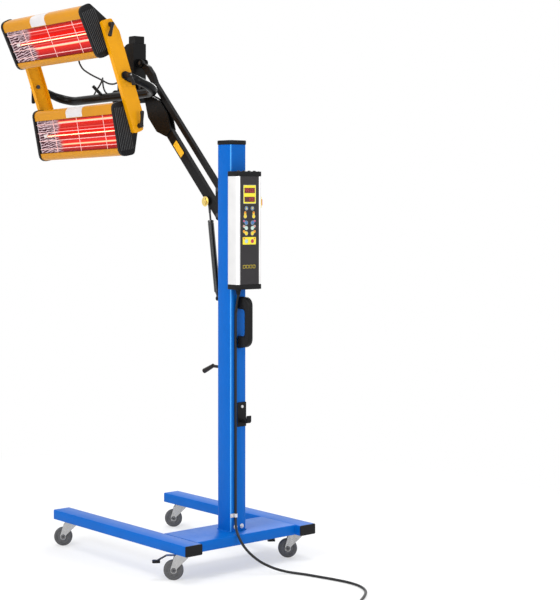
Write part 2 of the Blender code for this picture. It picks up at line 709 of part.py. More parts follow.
def pedal():
    """A bent plate drawn round its hinge, with a thick tip for the foot."""
    half = PEDAL_WIDTH / 2
    narrow = FORK_INNER - RUNNING
    eye = PEDAL_PIN_RADIUS + PEDAL_THICKNESS
    reach = PEDAL_REACH + PEDAL_HINGE_X
    knee = -reach * 0.42
    tongue = rounded(((0, PEDAL_THICKNESS, 0), (0, 0, 0), (knee, 0, PEDAL_THICKNESS),
                      (-reach + PEDAL_TIP_LENGTH / 2, -PEDAL_DROP, 0),
                      (-reach + PEDAL_TIP_LENGTH / 2, -PEDAL_DROP + PEDAL_THICKNESS, 0),
                      (knee, PEDAL_THICKNESS, PEDAL_THICKNESS)), 2)
    made = prism(tongue, -narrow, narrow, "Y")
    made = join(made, bar((0, -narrow, 0), (0, narrow, 0), eye))
    tip = rounded(((-reach + PEDAL_TIP_LENGTH, -half * 0.7, 0), (-reach, -half, half / 2),
                   (-reach, half, half / 2), (-reach + PEDAL_TIP_LENGTH, half * 0.7, 0)), 3)
    low = -PEDAL_DROP - PEDAL_TIP_THICKNESS / 2
    made = join(made, prism(tip, low, low + PEDAL_TIP_THICKNESS, "Z"))
    bore = PEDAL_PIN_RADIUS + RUNNING
    return cut(made, bar((0, -half, 0), (0, half, 0), bore))


for end, x in (("front", CASTER_FRONT_X), ("rear", CASTER_REAR_X)):
    for side, place in (("near", -1), ("far", 1)):
        name = f"{side}_{end}"
        pivot = (x, place * LEG_OFFSET, CASTER_HEIGHT)
        swivel = piece(f"{name}_fork", fork(end == "rear"), ZINC, stand, pivot, (0, 0, CASTER_SWIVEL))
        piece(f"{name}_wheel", wheel(), RUBBER, swivel, (-CASTER_TRAIL, 0, -AXLE_DROP))
        if end == "rear":
            hinge = (PEDAL_HINGE_X, 0, FORK_LOW - FORK_SKIRT / 2)
            piece(f"{name}_brake_pedal", pedal(), BLACK_PLASTIC, swivel, hinge)

# Control box
BOX_BACK = COLUMN_HALF + GAP + BOX_STANDOFF
BOX_FRONT = BOX_BACK + BOX_DEPTH
BOX_TOP = BOX_BOTTOM + BOX_HEIGHT
BOX_MIDDLE = BOX_BOTTOM + BOX_HEIGHT / 2
SHELL_LOW = BOX_BOTTOM + BOX_CAP_HEIGHT
SHELL_HIGH = BOX_TOP - BOX_CAP_HEIGHT
box_half = BOX_WIDTH / 2
shell_outline = rectangle(BOX_BACK, BOX_FRONT, -box_half, box_half, BOX_CORNER, 5)
box_hollow = rectangle(BOX_BACK + BOX_WALL, BOX_FRONT - BOX_FRONT_WALL, -box_half + BOX_WALL, box_half - BOX_WALL,
                       BOX_CORNER - BOX_WALL, 3)


def panel_y(pixel):
    share = (pixel - PANEL_VIEW_LEFT) / (PANEL_VIEW_RIGHT - PANEL_VIEW_LEFT)
    return (share - 0.5) * BOX_WIDTH


def panel_z(pixel):
    share = (pixel - PANEL_VIEW_TOP) / (PANEL_VIEW_BOTTOM - PANEL_VIEW_TOP)
    return BOX_TOP - share * BOX_HEIGHT


def panel_rectangle(pixels, margin=0.0, radius=0.0):
    left, top, right, bottom = pixels
    return rectangle(panel_y(left - margin), panel_y(right + margin), panel_z(bottom + margin), panel_z(top - margin),
                     radius, 3)


housing = prism(shell_outline, SHELL_LOW + GAP, SHELL_HIGH - GAP, "Z")
housing = cut(housing, prism(box_hollow, BOX_BOTTOM, BOX_TOP, "Z"))
recess = prism(rectangle(-PANEL_WIDTH / 2 - GAP, PANEL_WIDTH / 2 + GAP, BOX_BOTTOM, BOX_TOP),
               BOX_FRONT - PANEL_RECESS, BOX_FRONT + OVERRUN, "X")
pocket_pixels = (WINDOW_PIXELS[0][0], WINDOW_PIXELS[0][1], WINDOW_PIXELS[1][2], WINDOW_PIXELS[1][3])
pocket = prism(panel_rectangle(pocket_pixels, PANE_MARGIN_PIXELS), BOX_FRONT - PANEL_RECESS - WINDOW_DEPTH,
               BOX_FRONT + OVERRUN, "X")
housing = cut(housing, recess, pocket)
for middle in (SHELL_LOW + BOX_FOOT_INSET, SHELL_HIGH - BOX_FOOT_INSET):
    foot = block((COLUMN_HALF + GAP, -BOX_FOOT_WIDTH / 2, middle - BOX_FOOT_HEIGHT / 2),
                 (BOX_BACK + BOX_WALL / 2, BOX_FOOT_WIDTH / 2, middle + BOX_FOOT_HEIGHT / 2))
    housing = join(housing, foot)
switch_z = BOX_BOTTOM + SWITCH_PLATE_RISE
switch_x = (BOX_BACK + BOX_FRONT) / 2
housing = cut(housing, bar((switch_x, box_half - BOX_WALL - OVERRUN, switch_z), (switch_x, box_half + OVERRUN, switch_z),
                           KNOB_SPINDLE + GAP))
piece("box_housing", housing, ALUMINIUM, stand)

for name, low, high, plug_low, plug_high in (
        ("box_top_cap", SHELL_HIGH, BOX_TOP, SHELL_HIGH - BOX_CAP_PLUG, SHELL_HIGH + BOX_CAP_HEIGHT / 2),
        ("box_bottom_cap", BOX_BOTTOM, SHELL_LOW, SHELL_LOW - BOX_CAP_HEIGHT / 2, SHELL_LOW + BOX_CAP_PLUG)):
    over = BOX_CAP_OVERHANG
    outline = rectangle(BOX_BACK - over, BOX_FRONT + over, -box_half - over, box_half + over, BOX_CORNER + over, 5)
    cover = softened(prism(outline, low, high, "Z"), over)
    inner = BOX_WALL + GAP
    plug = rectangle(BOX_BACK + inner, BOX_FRONT - BOX_FRONT_WALL - GAP, -box_half + inner, box_half - inner,
                     BOX_CORNER - BOX_WALL, 3)
    piece(name, join(cover, prism(plug, plug_low, plug_high, "Z")), BLACK_PLASTIC, stand)

# Membrane panel with its keys, and the pane behind it
PANEL_BACK = BOX_FRONT - PANEL_RECESS + GAP
PANEL_FACE = PANEL_BACK + PANEL_THICKNESS
panel = prism(rectangle(-PANEL_WIDTH / 2, PANEL_WIDTH / 2, SHELL_LOW + 2 * GAP, SHELL_HIGH - 2 * GAP),
              PANEL_BACK, PANEL_FACE, "X")
key_radius = KEY_PIXELS / (PANEL_VIEW_RIGHT - PANEL_VIEW_LEFT) * BOX_WIDTH / 2
raised = [prism(panel_rectangle(BEZEL_PIXELS, 0, BEZEL_RISE), PANEL_FACE - PANEL_THICKNESS / 2,
                PANEL_FACE + BEZEL_RISE, "X"),
          prism(panel_rectangle(START_PLATE_PIXELS, 0, BEZEL_RISE), PANEL_FACE - PANEL_THICKNESS / 2,
                PANEL_FACE + BEZEL_RISE, "X")]
for across, down in ROUND_KEYS:
    raised.append(bar((PANEL_FACE - PANEL_THICKNESS / 2, panel_y(across), panel_z(down)),
                      (PANEL_FACE + KEY_RISE, panel_y(across), panel_z(down)), key_radius, BOLT_SIDES))
for across, down in START_STOP_KEYS:
    raised.append(bar((PANEL_FACE - PANEL_THICKNESS / 2, panel_y(across), panel_z(down)),
                      (PANEL_FACE + BEZEL_RISE + KEY_RISE, panel_y(across), panel_z(down)), key_radius, BOLT_SIDES))
panel = join(panel, *raised)
windows = [prism(panel_rectangle(pixels), PANEL_BACK - OVERRUN, PANEL_FACE + OVERRUN, "X") for pixels in WINDOW_PIXELS]
piece("control_panel", cut(panel, *windows), PANEL, stand)
pane = prism(panel_rectangle(pocket_pixels, PANE_MARGIN_PIXELS - 0.5), PANEL_BACK - WINDOW_DEPTH, PANEL_BACK - GAP, "X")
piece("display_window", pane, WINDOW, stand)

# Main switch on the box's far side
plate_side = SWITCH_PLATE_SIDE / 2
plate_face = box_half + GAP + SWITCH_PLATE_THICKNESS
switch_plate = prism(rectangle(switch_x - plate_side, switch_x + plate_side, switch_z - plate_side,
                               switch_z + plate_side, BOX_CORNER / 2, 3), box_half + GAP, plate_face, "Y")
switch_plate = cut(switch_plate, bar((switch_x, box_half - OVERRUN, switch_z), (switch_x, plate_face + OVERRUN, switch_z),
                                     KNOB_SPINDLE + GAP))
piece("switch_plate", switch_plate, YELLOW_PLASTIC, stand)
knob = bar((0, 0, 0), (0, KNOB_SKIRT, 0), KNOB_RADIUS, ROUND_SIDES)
knob = join(knob, prism(rectangle(-KNOB_GRIP / 2, KNOB_GRIP / 2, -KNOB_RADIUS * 0.95, KNOB_RADIUS * 0.95,
                                  KNOB_GRIP / 3, 3), KNOB_SKIRT / 2, KNOB_LENGTH, "Y"),
            bar((0, -SWITCH_PLATE_THICKNESS - KNOB_SPINDLE_LENGTH / 2, 0), (0, KNOB_SKIRT / 2, 0), KNOB_SPINDLE))
piece("switch_knob", knob, RED_PLASTIC, stand, (switch_x, plate_face + GAP, switch_z))

# Push handle: a D-shaped loop
handle_root = COLUMN_HALF + GAP
handle_out = handle_root + HANDLE_REACH
handle = prism(rounded(((handle_root, HANDLE_BOTTOM, 0), (handle_out, HANDLE_BOTTOM + HANDLE_OUTER_FILLET / 3,
                                                          HANDLE_OUTER_FILLET),
                        (handle_out, HANDLE_TOP, HANDLE_OUTER_FILLET), (handle_root, HANDLE_TOP, 0)), 6),
               HANDLE_Y - HANDLE_WIDTH / 2, HANDLE_Y + HANDLE_WIDTH / 2, "Y")
finger_gap = prism(rounded(((handle_root - OVERRUN, HANDLE_BOTTOM + HANDLE_FOOT, 0),
                            (handle_out - HANDLE_GRIP, HANDLE_BOTTOM + HANDLE_FOOT, HANDLE_INNER_FILLET),
                            (handle_out - HANDLE_GRIP, HANDLE_TOP - HANDLE_FOOT, HANDLE_INNER_FILLET),
                            (handle_root - OVERRUN, HANDLE_TOP - HANDLE_FOOT, 0)), 4),
                   HANDLE_Y - HANDLE_WIDTH, HANDLE_Y + HANDLE_WIDTH, "Y")
piece("push_handle", softened(cut(handle, finger_gap), HANDLE_EDGE), BLACK_PLASTIC, stand)

# Cable hanger: a plate with a horn and a lower lip
hanger_back = COLUMN_HALF + GAP
hanger_middle = (HANGER_LEFT + HANGER_RIGHT) / 2
hanger = prism(rectangle(HANGER_LEFT, HANGER_RIGHT, HANGER_BOTTOM, HANGER_TOP, HANGER_PLATE, 3), hanger_back,
               hanger_back + HANGER_PLATE, "X")
horn = rounded(((hanger_back + HANGER_PLATE / 2, HANGER_BOTTOM + HANGER_ARM_RISE, 0),
                (hanger_back + HANGER_REACH, HANGER_BOTTOM + HANGER_ARM_RISE, HANGER_ARM),
                (hanger_back + HANGER_REACH, HANGER_BOTTOM + HANGER_ARM_RISE + HANGER_LIP, HANGER_ARM / 3),
                (hanger_back + HANGER_REACH - HANGER_ARM / 2, HANGER_BOTTOM + HANGER_ARM_RISE + HANGER_LIP,
                 HANGER_ARM / 3),
                (hanger_back + HANGER_REACH - HANGER_ARM, HANGER_BOTTOM + HANGER_ARM_RISE + HANGER_ARM, HANGER_ARM),
                (hanger_back + HANGER_PLATE / 2, HANGER_BOTTOM + HANGER_ARM_RISE + HANGER_ARM, 0)), 4)
hanger = join(hanger, prism(horn, hanger_middle - HANGER_ARM, hanger_middle + HANGER_ARM, "Y"),
              bar((hanger_back + HANGER_PLATE / 2, hanger_middle, HANGER_TOP - HANGER_SCREW_DROP),
                  (hanger_back + HANGER_PLATE + HANGER_SCREW_HEIGHT, hanger_middle, HANGER_TOP - HANGER_SCREW_DROP),
                  HANGER_SCREW_RADIUS, 12))
piece("cable_hanger", hanger, BLACK_PLASTIC, stand)

# Column lever on the front face, turning about its own rod
rod = bar((-LEVER_BOSS / 2, 0, 0), (-LEVER_ROD_LENGTH, 0, 0), LEVER_ROD_RADIUS)
rod = join(rod, bar((0, 0, 0), (-LEVER_BOSS, 0, 0), LEVER_BOSS_RADIUS, ROUND_SIDES),
           bar((-LEVER_ROD_LENGTH + LEVER_ROD_RADIUS, 0, LEVER_ROD_RADIUS / 3),
               (-LEVER_ROD_LENGTH - LEVER_GRIP_LENGTH, 0, -LEVER_DROOP), LEVER_GRIP_RADIUS * 0.8, PIN_SIDES,
               LEVER_GRIP_RADIUS))
piece("column_lever", rod, BLACK_PLASTIC, stand, (-COLUMN_HALF - GAP, 0, LEVER_HEIGHT))

# Mains cable held on the column: gland, riser and clip
cable_x = COLUMN_HALF + GAP + CABLE_RADIUS
gland_x = BOX_BACK + GLAND_OFFSET
gland_top = BOX_BOTTOM - GAP
gland = bar((gland_x, CABLE_Y, gland_top - GLAND_NUT), (gland_x, CABLE_Y, gland_top), GLAND_RADIUS, 6)
gland = join(gland, bar((gland_x, CABLE_Y, gland_top - GLAND_HEIGHT), (gland_x, CABLE_Y, gland_top - GLAND_NUT / 2),
                        CABLE_RADIUS + CLIP_BAND, PIN_SIDES, GLAND_RADIUS * 0.9))
piece("cable_gland", gland, BLACK_PLASTIC, stand)
clip_middle = CLIP_HEIGHT
riser = [(cable_x, CABLE_Y, clip_middle + GAP / 2), (cable_x, CABLE_Y, clip_middle + CLIP_LENGTH),
         (cable_x, CABLE_Y, RISER_ROUTE[0][1] - HANDLE_REACH)]
riser += [(x, CABLE_Y, z) for x, z in RISER_ROUTE]
riser += [(gland_x, CABLE_Y, gland_top - GLAND_HEIGHT - CABLE_RADIUS), (gland_x, CABLE_Y, gland_top - GLAND_HEIGHT - GAP)]
straight = riser[:2]
riser = [straight[0], *smooth_path(riser[1:], 4 * CABLE_RADIUS * 2)]
piece("riser_cable", swept(riser, CABLE_RADIUS, 1), CABLE, stand)

clip_low = clip_middle - CLIP_LENGTH / 2
clip_high = clip_middle + CLIP_LENGTH / 2
band = CABLE_RADIUS + GAP + CLIP_BAND
clip = prism(ring(cable_x, CABLE_Y, band, ROUND_SIDES), clip_low, clip_high, "Z")
clip = join(clip, prism(rectangle(COLUMN_HALF + GAP, COLUMN_HALF + GAP + CLIP_BAND, CABLE_Y - band - CLIP_TAB,
                                  CABLE_Y), clip_low, clip_high, "Z"))
clip = cut(clip, prism(rectangle(-COLUMN_HALF, COLUMN_HALF + GAP, CABLE_Y - COLUMN_HALF, CABLE_Y + COLUMN_HALF),
                       clip_low - OVERRUN, clip_high + OVERRUN, "Z"),
           bar((cable_x, CABLE_Y, clip_low - OVERRUN), (cable_x, CABLE_Y, clip_high + OVERRUN), CABLE_RADIUS + GAP,
               PIN_SIDES, turn=math.pi / PIN_SIDES))
screw_y = CABLE_Y - band - CLIP_TAB / 2
clip = join(clip, bar((COLUMN_HALF + GAP + CLIP_BAND / 2, screw_y, clip_middle),
                      (COLUMN_HALF + GAP + CLIP_BAND + CLIP_SCREW_HEIGHT, screw_y, clip_middle), CLIP_SCREW_RADIUS, 12))
piece("cable_clip", clip, ZINC, stand)

# Free cord, its coil and the plug
cord = [(cable_x, CABLE_Y, clip_middle - GAP / 2), (cable_x, CABLE_Y, clip_low - CABLE_RADIUS)]
cord += list(CORD_ROUTE)
coil_layer = COIL_TURNS / 2
coil_outer = COIL_INNER + COIL_PITCH * (coil_layer - 0.25)


def coil_point(turn):
    """A point of the coil after so many turns: spiral in, climb in half a turn, spiral out above."""
    half = (COIL_TURNS - 0.5) / 2
    if turn <= half:
        radius = COIL_INNER + COIL_PITCH * (half - turn)
        lift = 0.0
    elif turn <= half + 0.5:
        radius = COIL_INNER - COIL_DIP * math.sin(math.pi * (turn - half) / 0.5)
        lift = (1 - math.cos(math.pi * (turn - half) / 0.5)) / 2
    else:
        radius = COIL_INNER + COIL_PITCH * (turn - half - 0.5)
        lift = 1.0
    angle = math.pi / 2 - 2 * math.pi * turn
    return (COIL_CENTER[0] + radius * math.cos(angle), COIL_CENTER[1] + radius * math.sin(angle),
            CABLE_RADIUS + GAP + lift * COIL_LIFT)


coil = [coil_point(step / COIL_POINTS) for step in range(int(COIL_TURNS * COIL_POINTS) + 1)]
entry = Vector(coil[0])
runin = entry - Vector((2 * CABLE_RADIUS, 0, 0))
coil = [tuple(runin), *coil]
leave = Vector(coil[-1]) - Vector(coil[-2])
coil.append(tuple(Vector(coil[-1]) + leave.normalized() * 2 * CABLE_RADIUS))
piece("mains_coil", swept(coil, CABLE_RADIUS, 1), CABLE, stand)
cord += [tuple(runin - Vector((3 * CABLE_RADIUS, 0, 0))), tuple(runin - Vector((GAP, 0, 0)))]
cord_points = [cord[0], *smooth_path(cord[1:], 5 * CABLE_RADIUS)]
piece("mains_cord", swept(cord_points, CABLE_RADIUS, 1), CABLE, stand)

plug_profile = [(0, 0), (PLUG_NECK_RADIUS * 0.85, 0), (PLUG_NECK_RADIUS, PLUG_NECK * 0.8), (PLUG_NECK_RADIUS, PLUG_NECK),
                (PLUG_RADIUS * 0.7, PLUG_NECK + PLUG_LENGTH * 0.18), (PLUG_RADIUS, PLUG_NECK + PLUG_LENGTH * 0.45),
                (PLUG_RADIUS, PLUG_NECK + PLUG_LENGTH), (0, PLUG_NECK + PLUG_LENGTH)]
plug_end = PLUG_NECK + PLUG_LENGTH
plug = turned(plug_profile, ROUND_SIDES)
plug = join(plug, *[bar((0, side * PLUG_PIN_SPREAD, plug_end - OVERRUN), (0, side * PLUG_PIN_SPREAD,
                                                                        plug_end + PLUG_PIN_LENGTH),
                        PLUG_PIN_RADIUS, 12) for side in (-1, 1)])
coil_end = Vector(coil[-1])
plug_heading = leave.normalized()
piece("mains_plug", moved(plug, plug_heading.to_track_quat("Z", "Y").to_matrix().to_4x4()), BLACK_PLASTIC, stand,
      tuple(coil_end + plug_heading * GAP))

# Bracket on the column's front face with the pins of arm, link and gas spring
bracket_back = -COLUMN_HALF - GAP
bracket_face = bracket_back - ARM_BRACKET_PLATE
cheek_in = ARM_WIDTH / 2 + GAP
cheek_out = cheek_in + CHEEK_THICKNESS
pivot_x = -PIVOT_REACH
pivot_high = PIVOT_LOW + PIVOT_SPACING
plate_low = SPRING_LOW_Z - CHEEK_MARGIN
plate_high = pivot_high + CHEEK_MARGIN
bracket = block((bracket_face, -ARM_BRACKET_WIDTH / 2, plate_low), (bracket_back, ARM_BRACKET_WIDTH / 2, plate_high))
cheek = rounded(((bracket_face + ARM_BRACKET_PLATE / 2, PIVOT_LOW - CHEEK_MARGIN, 0),
                 (bracket_face + ARM_BRACKET_PLATE / 2, pivot_high + CHEEK_MARGIN, 0),
                 (pivot_x - CHEEK_MARGIN * 0.7, pivot_high + CHEEK_MARGIN, CHEEK_MARGIN * 0.7),
                 (pivot_x - CHEEK_MARGIN * 0.7, PIVOT_LOW - CHEEK_MARGIN, CHEEK_MARGIN * 0.7)), 5)
for side in (-1, 1):
    bracket = join(bracket, prism(cheek, side * cheek_in, side * cheek_out, "Y"))
for z in (PIVOT_LOW, pivot_high):
    bracket = join(bracket, bar((pivot_x, -cheek_out - PIN_HEAD / 2, z), (pivot_x, cheek_out + PIN_HEAD / 2, z),
                                PIN_RADIUS))
    for side in (-1, 1):
        bracket = join(bracket, bar((pivot_x, side * (cheek_out - CHEEK_THICKNESS / 2), z),
                                    (pivot_x, side * (cheek_out + PIN_HEAD), z), PIN_HEAD_RADIUS, 6))
lug_in = SPRING_EYE_WIDTH / 2 + GAP
lug = capsule((bracket_back - SPRING_EYE_RADIUS, SPRING_LOW_Z), (SPRING_LOW_X, SPRING_LOW_Z),
              SPRING_EYE_RADIUS, SPRING_EYE_RADIUS)
bracket = join(bracket, prism(lug, lug_in, lug_in + CHEEK_THICKNESS, "Y"),
               bar((SPRING_LOW_X, lug_in + CHEEK_THICKNESS / 2, SPRING_LOW_Z),
                   (SPRING_LOW_X, -lug_in - CHEEK_THICKNESS / 2, SPRING_LOW_Z), SPRING_PIN_RADIUS),
               bar((SPRING_LOW_X, -lug_in, SPRING_LOW_Z), (SPRING_LOW_X, -lug_in - CHEEK_THICKNESS / 2, SPRING_LOW_Z),
                   SPRING_PIN_RADIUS * 1.8, 6))
piece("arm_bracket", bracket, BLACK_PAINT, stand)

# Main arm, drawn along +X from its pivot with its underside toward +Z, then turned up
arm_turn = (0, math.pi + ARM_ANGLE, 0)
spring_reach = Vector((pivot_x - SPRING_HIGH_X, SPRING_HIGH_Z - PIVOT_LOW))
spring_along = spring_reach.x * math.cos(ARM_ANGLE) + spring_reach.y * math.sin(ARM_ANGLE)
spring_under = spring_reach.x * math.sin(ARM_ANGLE) - spring_reach.y * math.cos(ARM_ANGLE)
arm_half = ARM_DEPTH / 2
spade_end = ARM_LENGTH - SPADE_NECK
spade_wide_end = spade_end - SPADE_TAPER
spade_wide_start = spade_wide_end - SPADE_WIDE
spade_start = spade_wide_start - SPADE_FLARE
tube_end = spade_wide_start
arm = prism(rounded(((-arm_half, -arm_half, arm_half * 0.96), (tube_end, -arm_half, 0), (tube_end, arm_half, 0),
                     (-arm_half, arm_half, arm_half * 0.96)), 6), -ARM_WIDTH / 2, ARM_WIDTH / 2, "Y")
hollow_start = 2 * PIN_HEAD_RADIUS
arm = cut(arm, block((hollow_start, -ARM_WIDTH / 2 + ARM_WALL, -arm_half + ARM_WALL),
                     (tube_end - SPADE_PLATE, ARM_WIDTH / 2 - ARM_WALL, arm_half - ARM_WALL)),
          block((SPRING_SLOT_START, -ARM_WIDTH / 2 + ARM_WALL, arm_half - 2 * ARM_WALL),
                (SPRING_SLOT_END, ARM_WIDTH / 2 - ARM_WALL, arm_half + OVERRUN)))
spade = rounded(((spade_start, -arm_half + SPADE_BITE, 0), (spade_wide_start, -SPADE_HALF_WIDTH, SPADE_FILLET),
                 (spade_wide_end, -SPADE_HALF_WIDTH, SPADE_FILLET), (spade_end, -NOSE_RADIUS, SPADE_FILLET),
                 (ARM_LENGTH, -NOSE_RADIUS, 0)), 5)
tip = ring(ARM_LENGTH, 0, NOSE_RADIUS, ROUND_SIDES)
quarter = ROUND_SIDES // 4
tip = [tip[(step - quarter) % ROUND_SIDES] for step in range(1, 2 * quarter)]
spade = [*spade, *tip, *[(a, -b) for a, b in reversed(spade)]]
spade_in = ARM_WIDTH / 2 - SPADE_BITE
spade_out = spade_in + SPADE_PLATE
for side in (-1, 1):
    arm = join(arm, prism(spade, side * spade_in, side * spade_out, "Y"))
for side in (-1, 1):
    arm = join(arm, bar((spring_along, side * (ARM_WIDTH / 2 - ARM_WALL), spring_under),
                        (spring_along, side * (ARM_WIDTH / 2 + ARM_WALL / 4), spring_under), EAR_RADIUS, ROUND_SIDES))
arm = join(arm, bar((spring_along, -ARM_WIDTH / 2 - NUT_HEIGHT / 2, spring_under),
                    (spring_along, ARM_WIDTH / 2 + NUT_HEIGHT / 2, spring_under), SPRING_PIN_RADIUS),
           bar((spring_along, -ARM_WIDTH / 2 + ARM_WALL / 2, spring_under),
               (spring_along, -ARM_WIDTH / 2 - NUT_HEIGHT, spring_under), NUT_RADIUS, 6),
           bar((spring_along, ARM_WIDTH / 2 - ARM_WALL / 2, spring_under),
               (spring_along, ARM_WIDTH / 2 + NUT_HEIGHT / 2, spring_under), NUT_RADIUS, 6))
arm = cut(arm, bar((0, -ARM_WIDTH, 0), (0, ARM_WIDTH, 0), PIN_RADIUS + RUNNING))
arm = join(arm, bar((ARM_LENGTH, -spade_out - PIN_HEAD / 2, 0), (ARM_LENGTH, spade_out + PIN_HEAD / 2, 0), PIN_RADIUS))
for side in (-1, 1):
    arm = join(arm, bar((ARM_LENGTH, side * (spade_out - SPADE_PLATE / 2), 0),
                        (ARM_LENGTH, side * (spade_out + PIN_HEAD), 0), PIN_HEAD_RADIUS, 6))
main_arm = piece("main_arm", arm, BLACK_PAINT, stand, (pivot_x, 0, PIVOT_LOW), arm_turn)

# Link above the arm, with the swelling near its upper end
link_half = LINK_DEPTH / 2
link = prism([*rounded(((-link_half, -link_half, link_half * 0.96),
                        (ARM_LENGTH - 6 * LINK_DEPTH, -link_half, LINK_DEPTH),
                        (ARM_LENGTH - 4 * LINK_DEPTH, -link_half - LINK_BULGE, LINK_DEPTH),
                        (ARM_LENGTH - 2 * LINK_DEPTH, -link_half - LINK_BULGE, LINK_DEPTH),
                        (ARM_LENGTH - LINK_DEPTH / 2, -link_half, LINK_DEPTH / 2),
                        (ARM_LENGTH + link_half, -link_half, link_half * 0.96),
                        (ARM_LENGTH + link_half, link_half, link_half * 0.96),
                        (-link_half, link_half, link_half * 0.96)), 4)], -LINK_WIDTH / 2, LINK_WIDTH / 2, "Y")
link = cut(link, bar((0, -LINK_WIDTH, 0), (0, LINK_WIDTH, 0), PIN_RADIUS + RUNNING),
           bar((ARM_LENGTH, -LINK_WIDTH, 0), (ARM_LENGTH, LINK_WIDTH, 0), PIN_RADIUS + RUNNING))
piece("arm_link", link, BLACK_PAINT, stand, (pivot_x, 0, pivot_high), arm_turn)

# Gas spring, drawn along +Z from its lower pivot
spring_vector = Vector((SPRING_HIGH_X - SPRING_LOW_X, 0, SPRING_HIGH_Z - SPRING_LOW_Z))
spring_length = spring_vector.length
spring_turn = (0, math.atan2(spring_vector.x, spring_vector.z), 0)
neck_low = SPRING_TUBE_START
cylinder = turned([(0, 0), (SPRING_NECK, 0), (SPRING_NECK, neck_low - SPRING_NECK), (SPRING_TUBE_RADIUS * 0.8, neck_low),
                   (SPRING_TUBE_RADIUS, neck_low + SPRING_NECK / 2),
                   (SPRING_TUBE_RADIUS, SPRING_TUBE_END - SPRING_NECK / 2),
                   (SPRING_TUBE_RADIUS * 0.75, SPRING_TUBE_END),
                   (SPRING_ROD_RADIUS + RUNNING, SPRING_TUBE_END),
                   (SPRING_ROD_RADIUS + RUNNING, SPRING_TUBE_END - SPRING_BORE), (0, SPRING_TUBE_END - SPRING_BORE)])
eye_half = SPRING_EYE_WIDTH / 2
cylinder = join(cylinder, bar((0, -eye_half, 0), (0, eye_half, 0), SPRING_EYE_RADIUS, ROUND_SIDES))
trim = SPRING_NECK + OVERRUN
for side in (-1, 1):
    cylinder = cut(cylinder, block((-trim, min(side * eye_half, side * trim), -trim),
                                   (trim, max(side * eye_half, side * trim), neck_low - SPRING_NECK)))
cylinder = cut(cylinder, bar((0, -trim, 0), (0, trim, 0), SPRING_PIN_RADIUS + RUNNING))
gas_cylinder = piece("gas_cylinder", cylinder, BLACK_PAINT, stand, (SPRING_LOW_X, 0, SPRING_LOW_Z), spring_turn)
rod_end = spring_length - SPRING_TOP_EYE_RADIUS / 2
gas_rod = turned([(0, SPRING_TUBE_END - SPRING_ROD_INSIDE), (SPRING_ROD_RADIUS, SPRING_TUBE_END - SPRING_ROD_INSIDE),
                  (SPRING_ROD_RADIUS, rod_end), (0, rod_end)], PIN_SIDES)
gas_rod = join(gas_rod, bar((0, -eye_half, spring_length), (0, eye_half, spring_length), SPRING_TOP_EYE_RADIUS,
                            ROUND_SIDES))
gas_rod = cut(gas_rod, bar((0, -trim, spring_length), (0, trim, spring_length), SPRING_PIN_RADIUS + SPRING_PLAY,
                           ROUND_SIDES))
piece("gas_rod", gas_rod, STEEL, gas_cylinder)

# Head bracket, drawn round the arm's upper pivot
upper_x = pivot_x - ARM_LENGTH * math.cos(ARM_ANGLE)
upper_z = PIVOT_LOW + ARM_LENGTH * math.sin(ARM_ANGLE)
front = -BRACKET_REACH
back = front - BRACKET_DEPTH
low = -BRACKET_DROP
high = low + BRACKET_HEIGHT
hub_x = -HUB_REACH
hub_z = -HUB_DROP
body_outline = rounded(((front, low, BRACKET_WALL), (front, high, BRACKET_WALL), (back + BRACKET_CROWN, high, BRACKET_CROWN),
                        (back, high - BRACKET_CROWN, BRACKET_CROWN), (back, low, BRACKET_WALL)), 4)
body = prism(body_outline, -BRACKET_HALF_WIDTH, BRACKET_HALF_WIDTH, "Y")
wall = BRACKET_WALL
hollow = rounded(((front - wall, low - OVERRUN, 0), (front - wall, high - wall, wall),
                  (back + BRACKET_CROWN, high - wall, BRACKET_CROWN - wall),
                  (back + wall, high - BRACKET_CROWN, BRACKET_CROWN - wall), (back + wall, low - OVERRUN, 0)), 4)
body = cut(body, prism(hollow, -BRACKET_HALF_WIDTH + wall, BRACKET_HALF_WIDTH - wall, "Y"))
top_block = rectangle(front - BLOCK_LENGTH, front, high - wall / 2, high + BLOCK_HEIGHT, wall, 3)
body = join(body, prism(top_block, -BLOCK_HALF_WIDTH, BLOCK_HALF_WIDTH, "Y"))
lug_half = spade_in - GAP
low_lug = capsule((front - wall / 2, 0), (0, 0), LUG_RADIUS, LUG_RADIUS * 0.95)
body = join(body, prism(low_lug, -lug_half, lug_half, "Y"))
ear_in = LINK_WIDTH / 2 + GAP
high_lug = capsule((front - wall / 2, PIVOT_SPACING), (0, PIVOT_SPACING), FORK_EAR_RADIUS, FORK_EAR_RADIUS * 0.9)
for side in (-1, 1):
    body = join(body, prism(high_lug, side * ear_in, side * (ear_in + FORK_EAR), "Y"))
body = join(body, bar((0, -ear_in - FORK_EAR - PIN_HEAD / 2, PIVOT_SPACING), (0, ear_in + FORK_EAR + PIN_HEAD / 2,
                                                                             PIVOT_SPACING), PIN_RADIUS))
for side in (-1, 1):
    body = join(body, bar((0, side * (ear_in + FORK_EAR / 2), PIVOT_SPACING),
                          (0, side * (ear_in + FORK_EAR + PIN_HEAD), PIVOT_SPACING), PIN_HEAD_RADIUS, 6))
body = cut(body, bar((0, -ARM_WIDTH, 0), (0, ARM_WIDTH, 0), PIN_RADIUS + RUNNING),
           block((front, -LINK_WIDTH / 2 - GAP, PIVOT_SPACING - 2 * FORK_EAR_RADIUS),
                 (front + GAP / 2, LINK_WIDTH / 2 + GAP, PIVOT_SPACING + 2 * FORK_EAR_RADIUS)))
body = join(body, bar((hub_x, -BRACKET_HALF_WIDTH + wall / 2, hub_z), (hub_x, BRACKET_HALF_WIDTH - wall / 2, hub_z),
                      HUB_STUD_RADIUS + wall, PIN_SIDES))
body = cut(body, bar((hub_x, -BRACKET_HALF_WIDTH - OVERRUN, hub_z), (hub_x, BRACKET_HALF_WIDTH + OVERRUN, hub_z),
                     HUB_STUD_RADIUS + GAP, ROUND_SIDES))
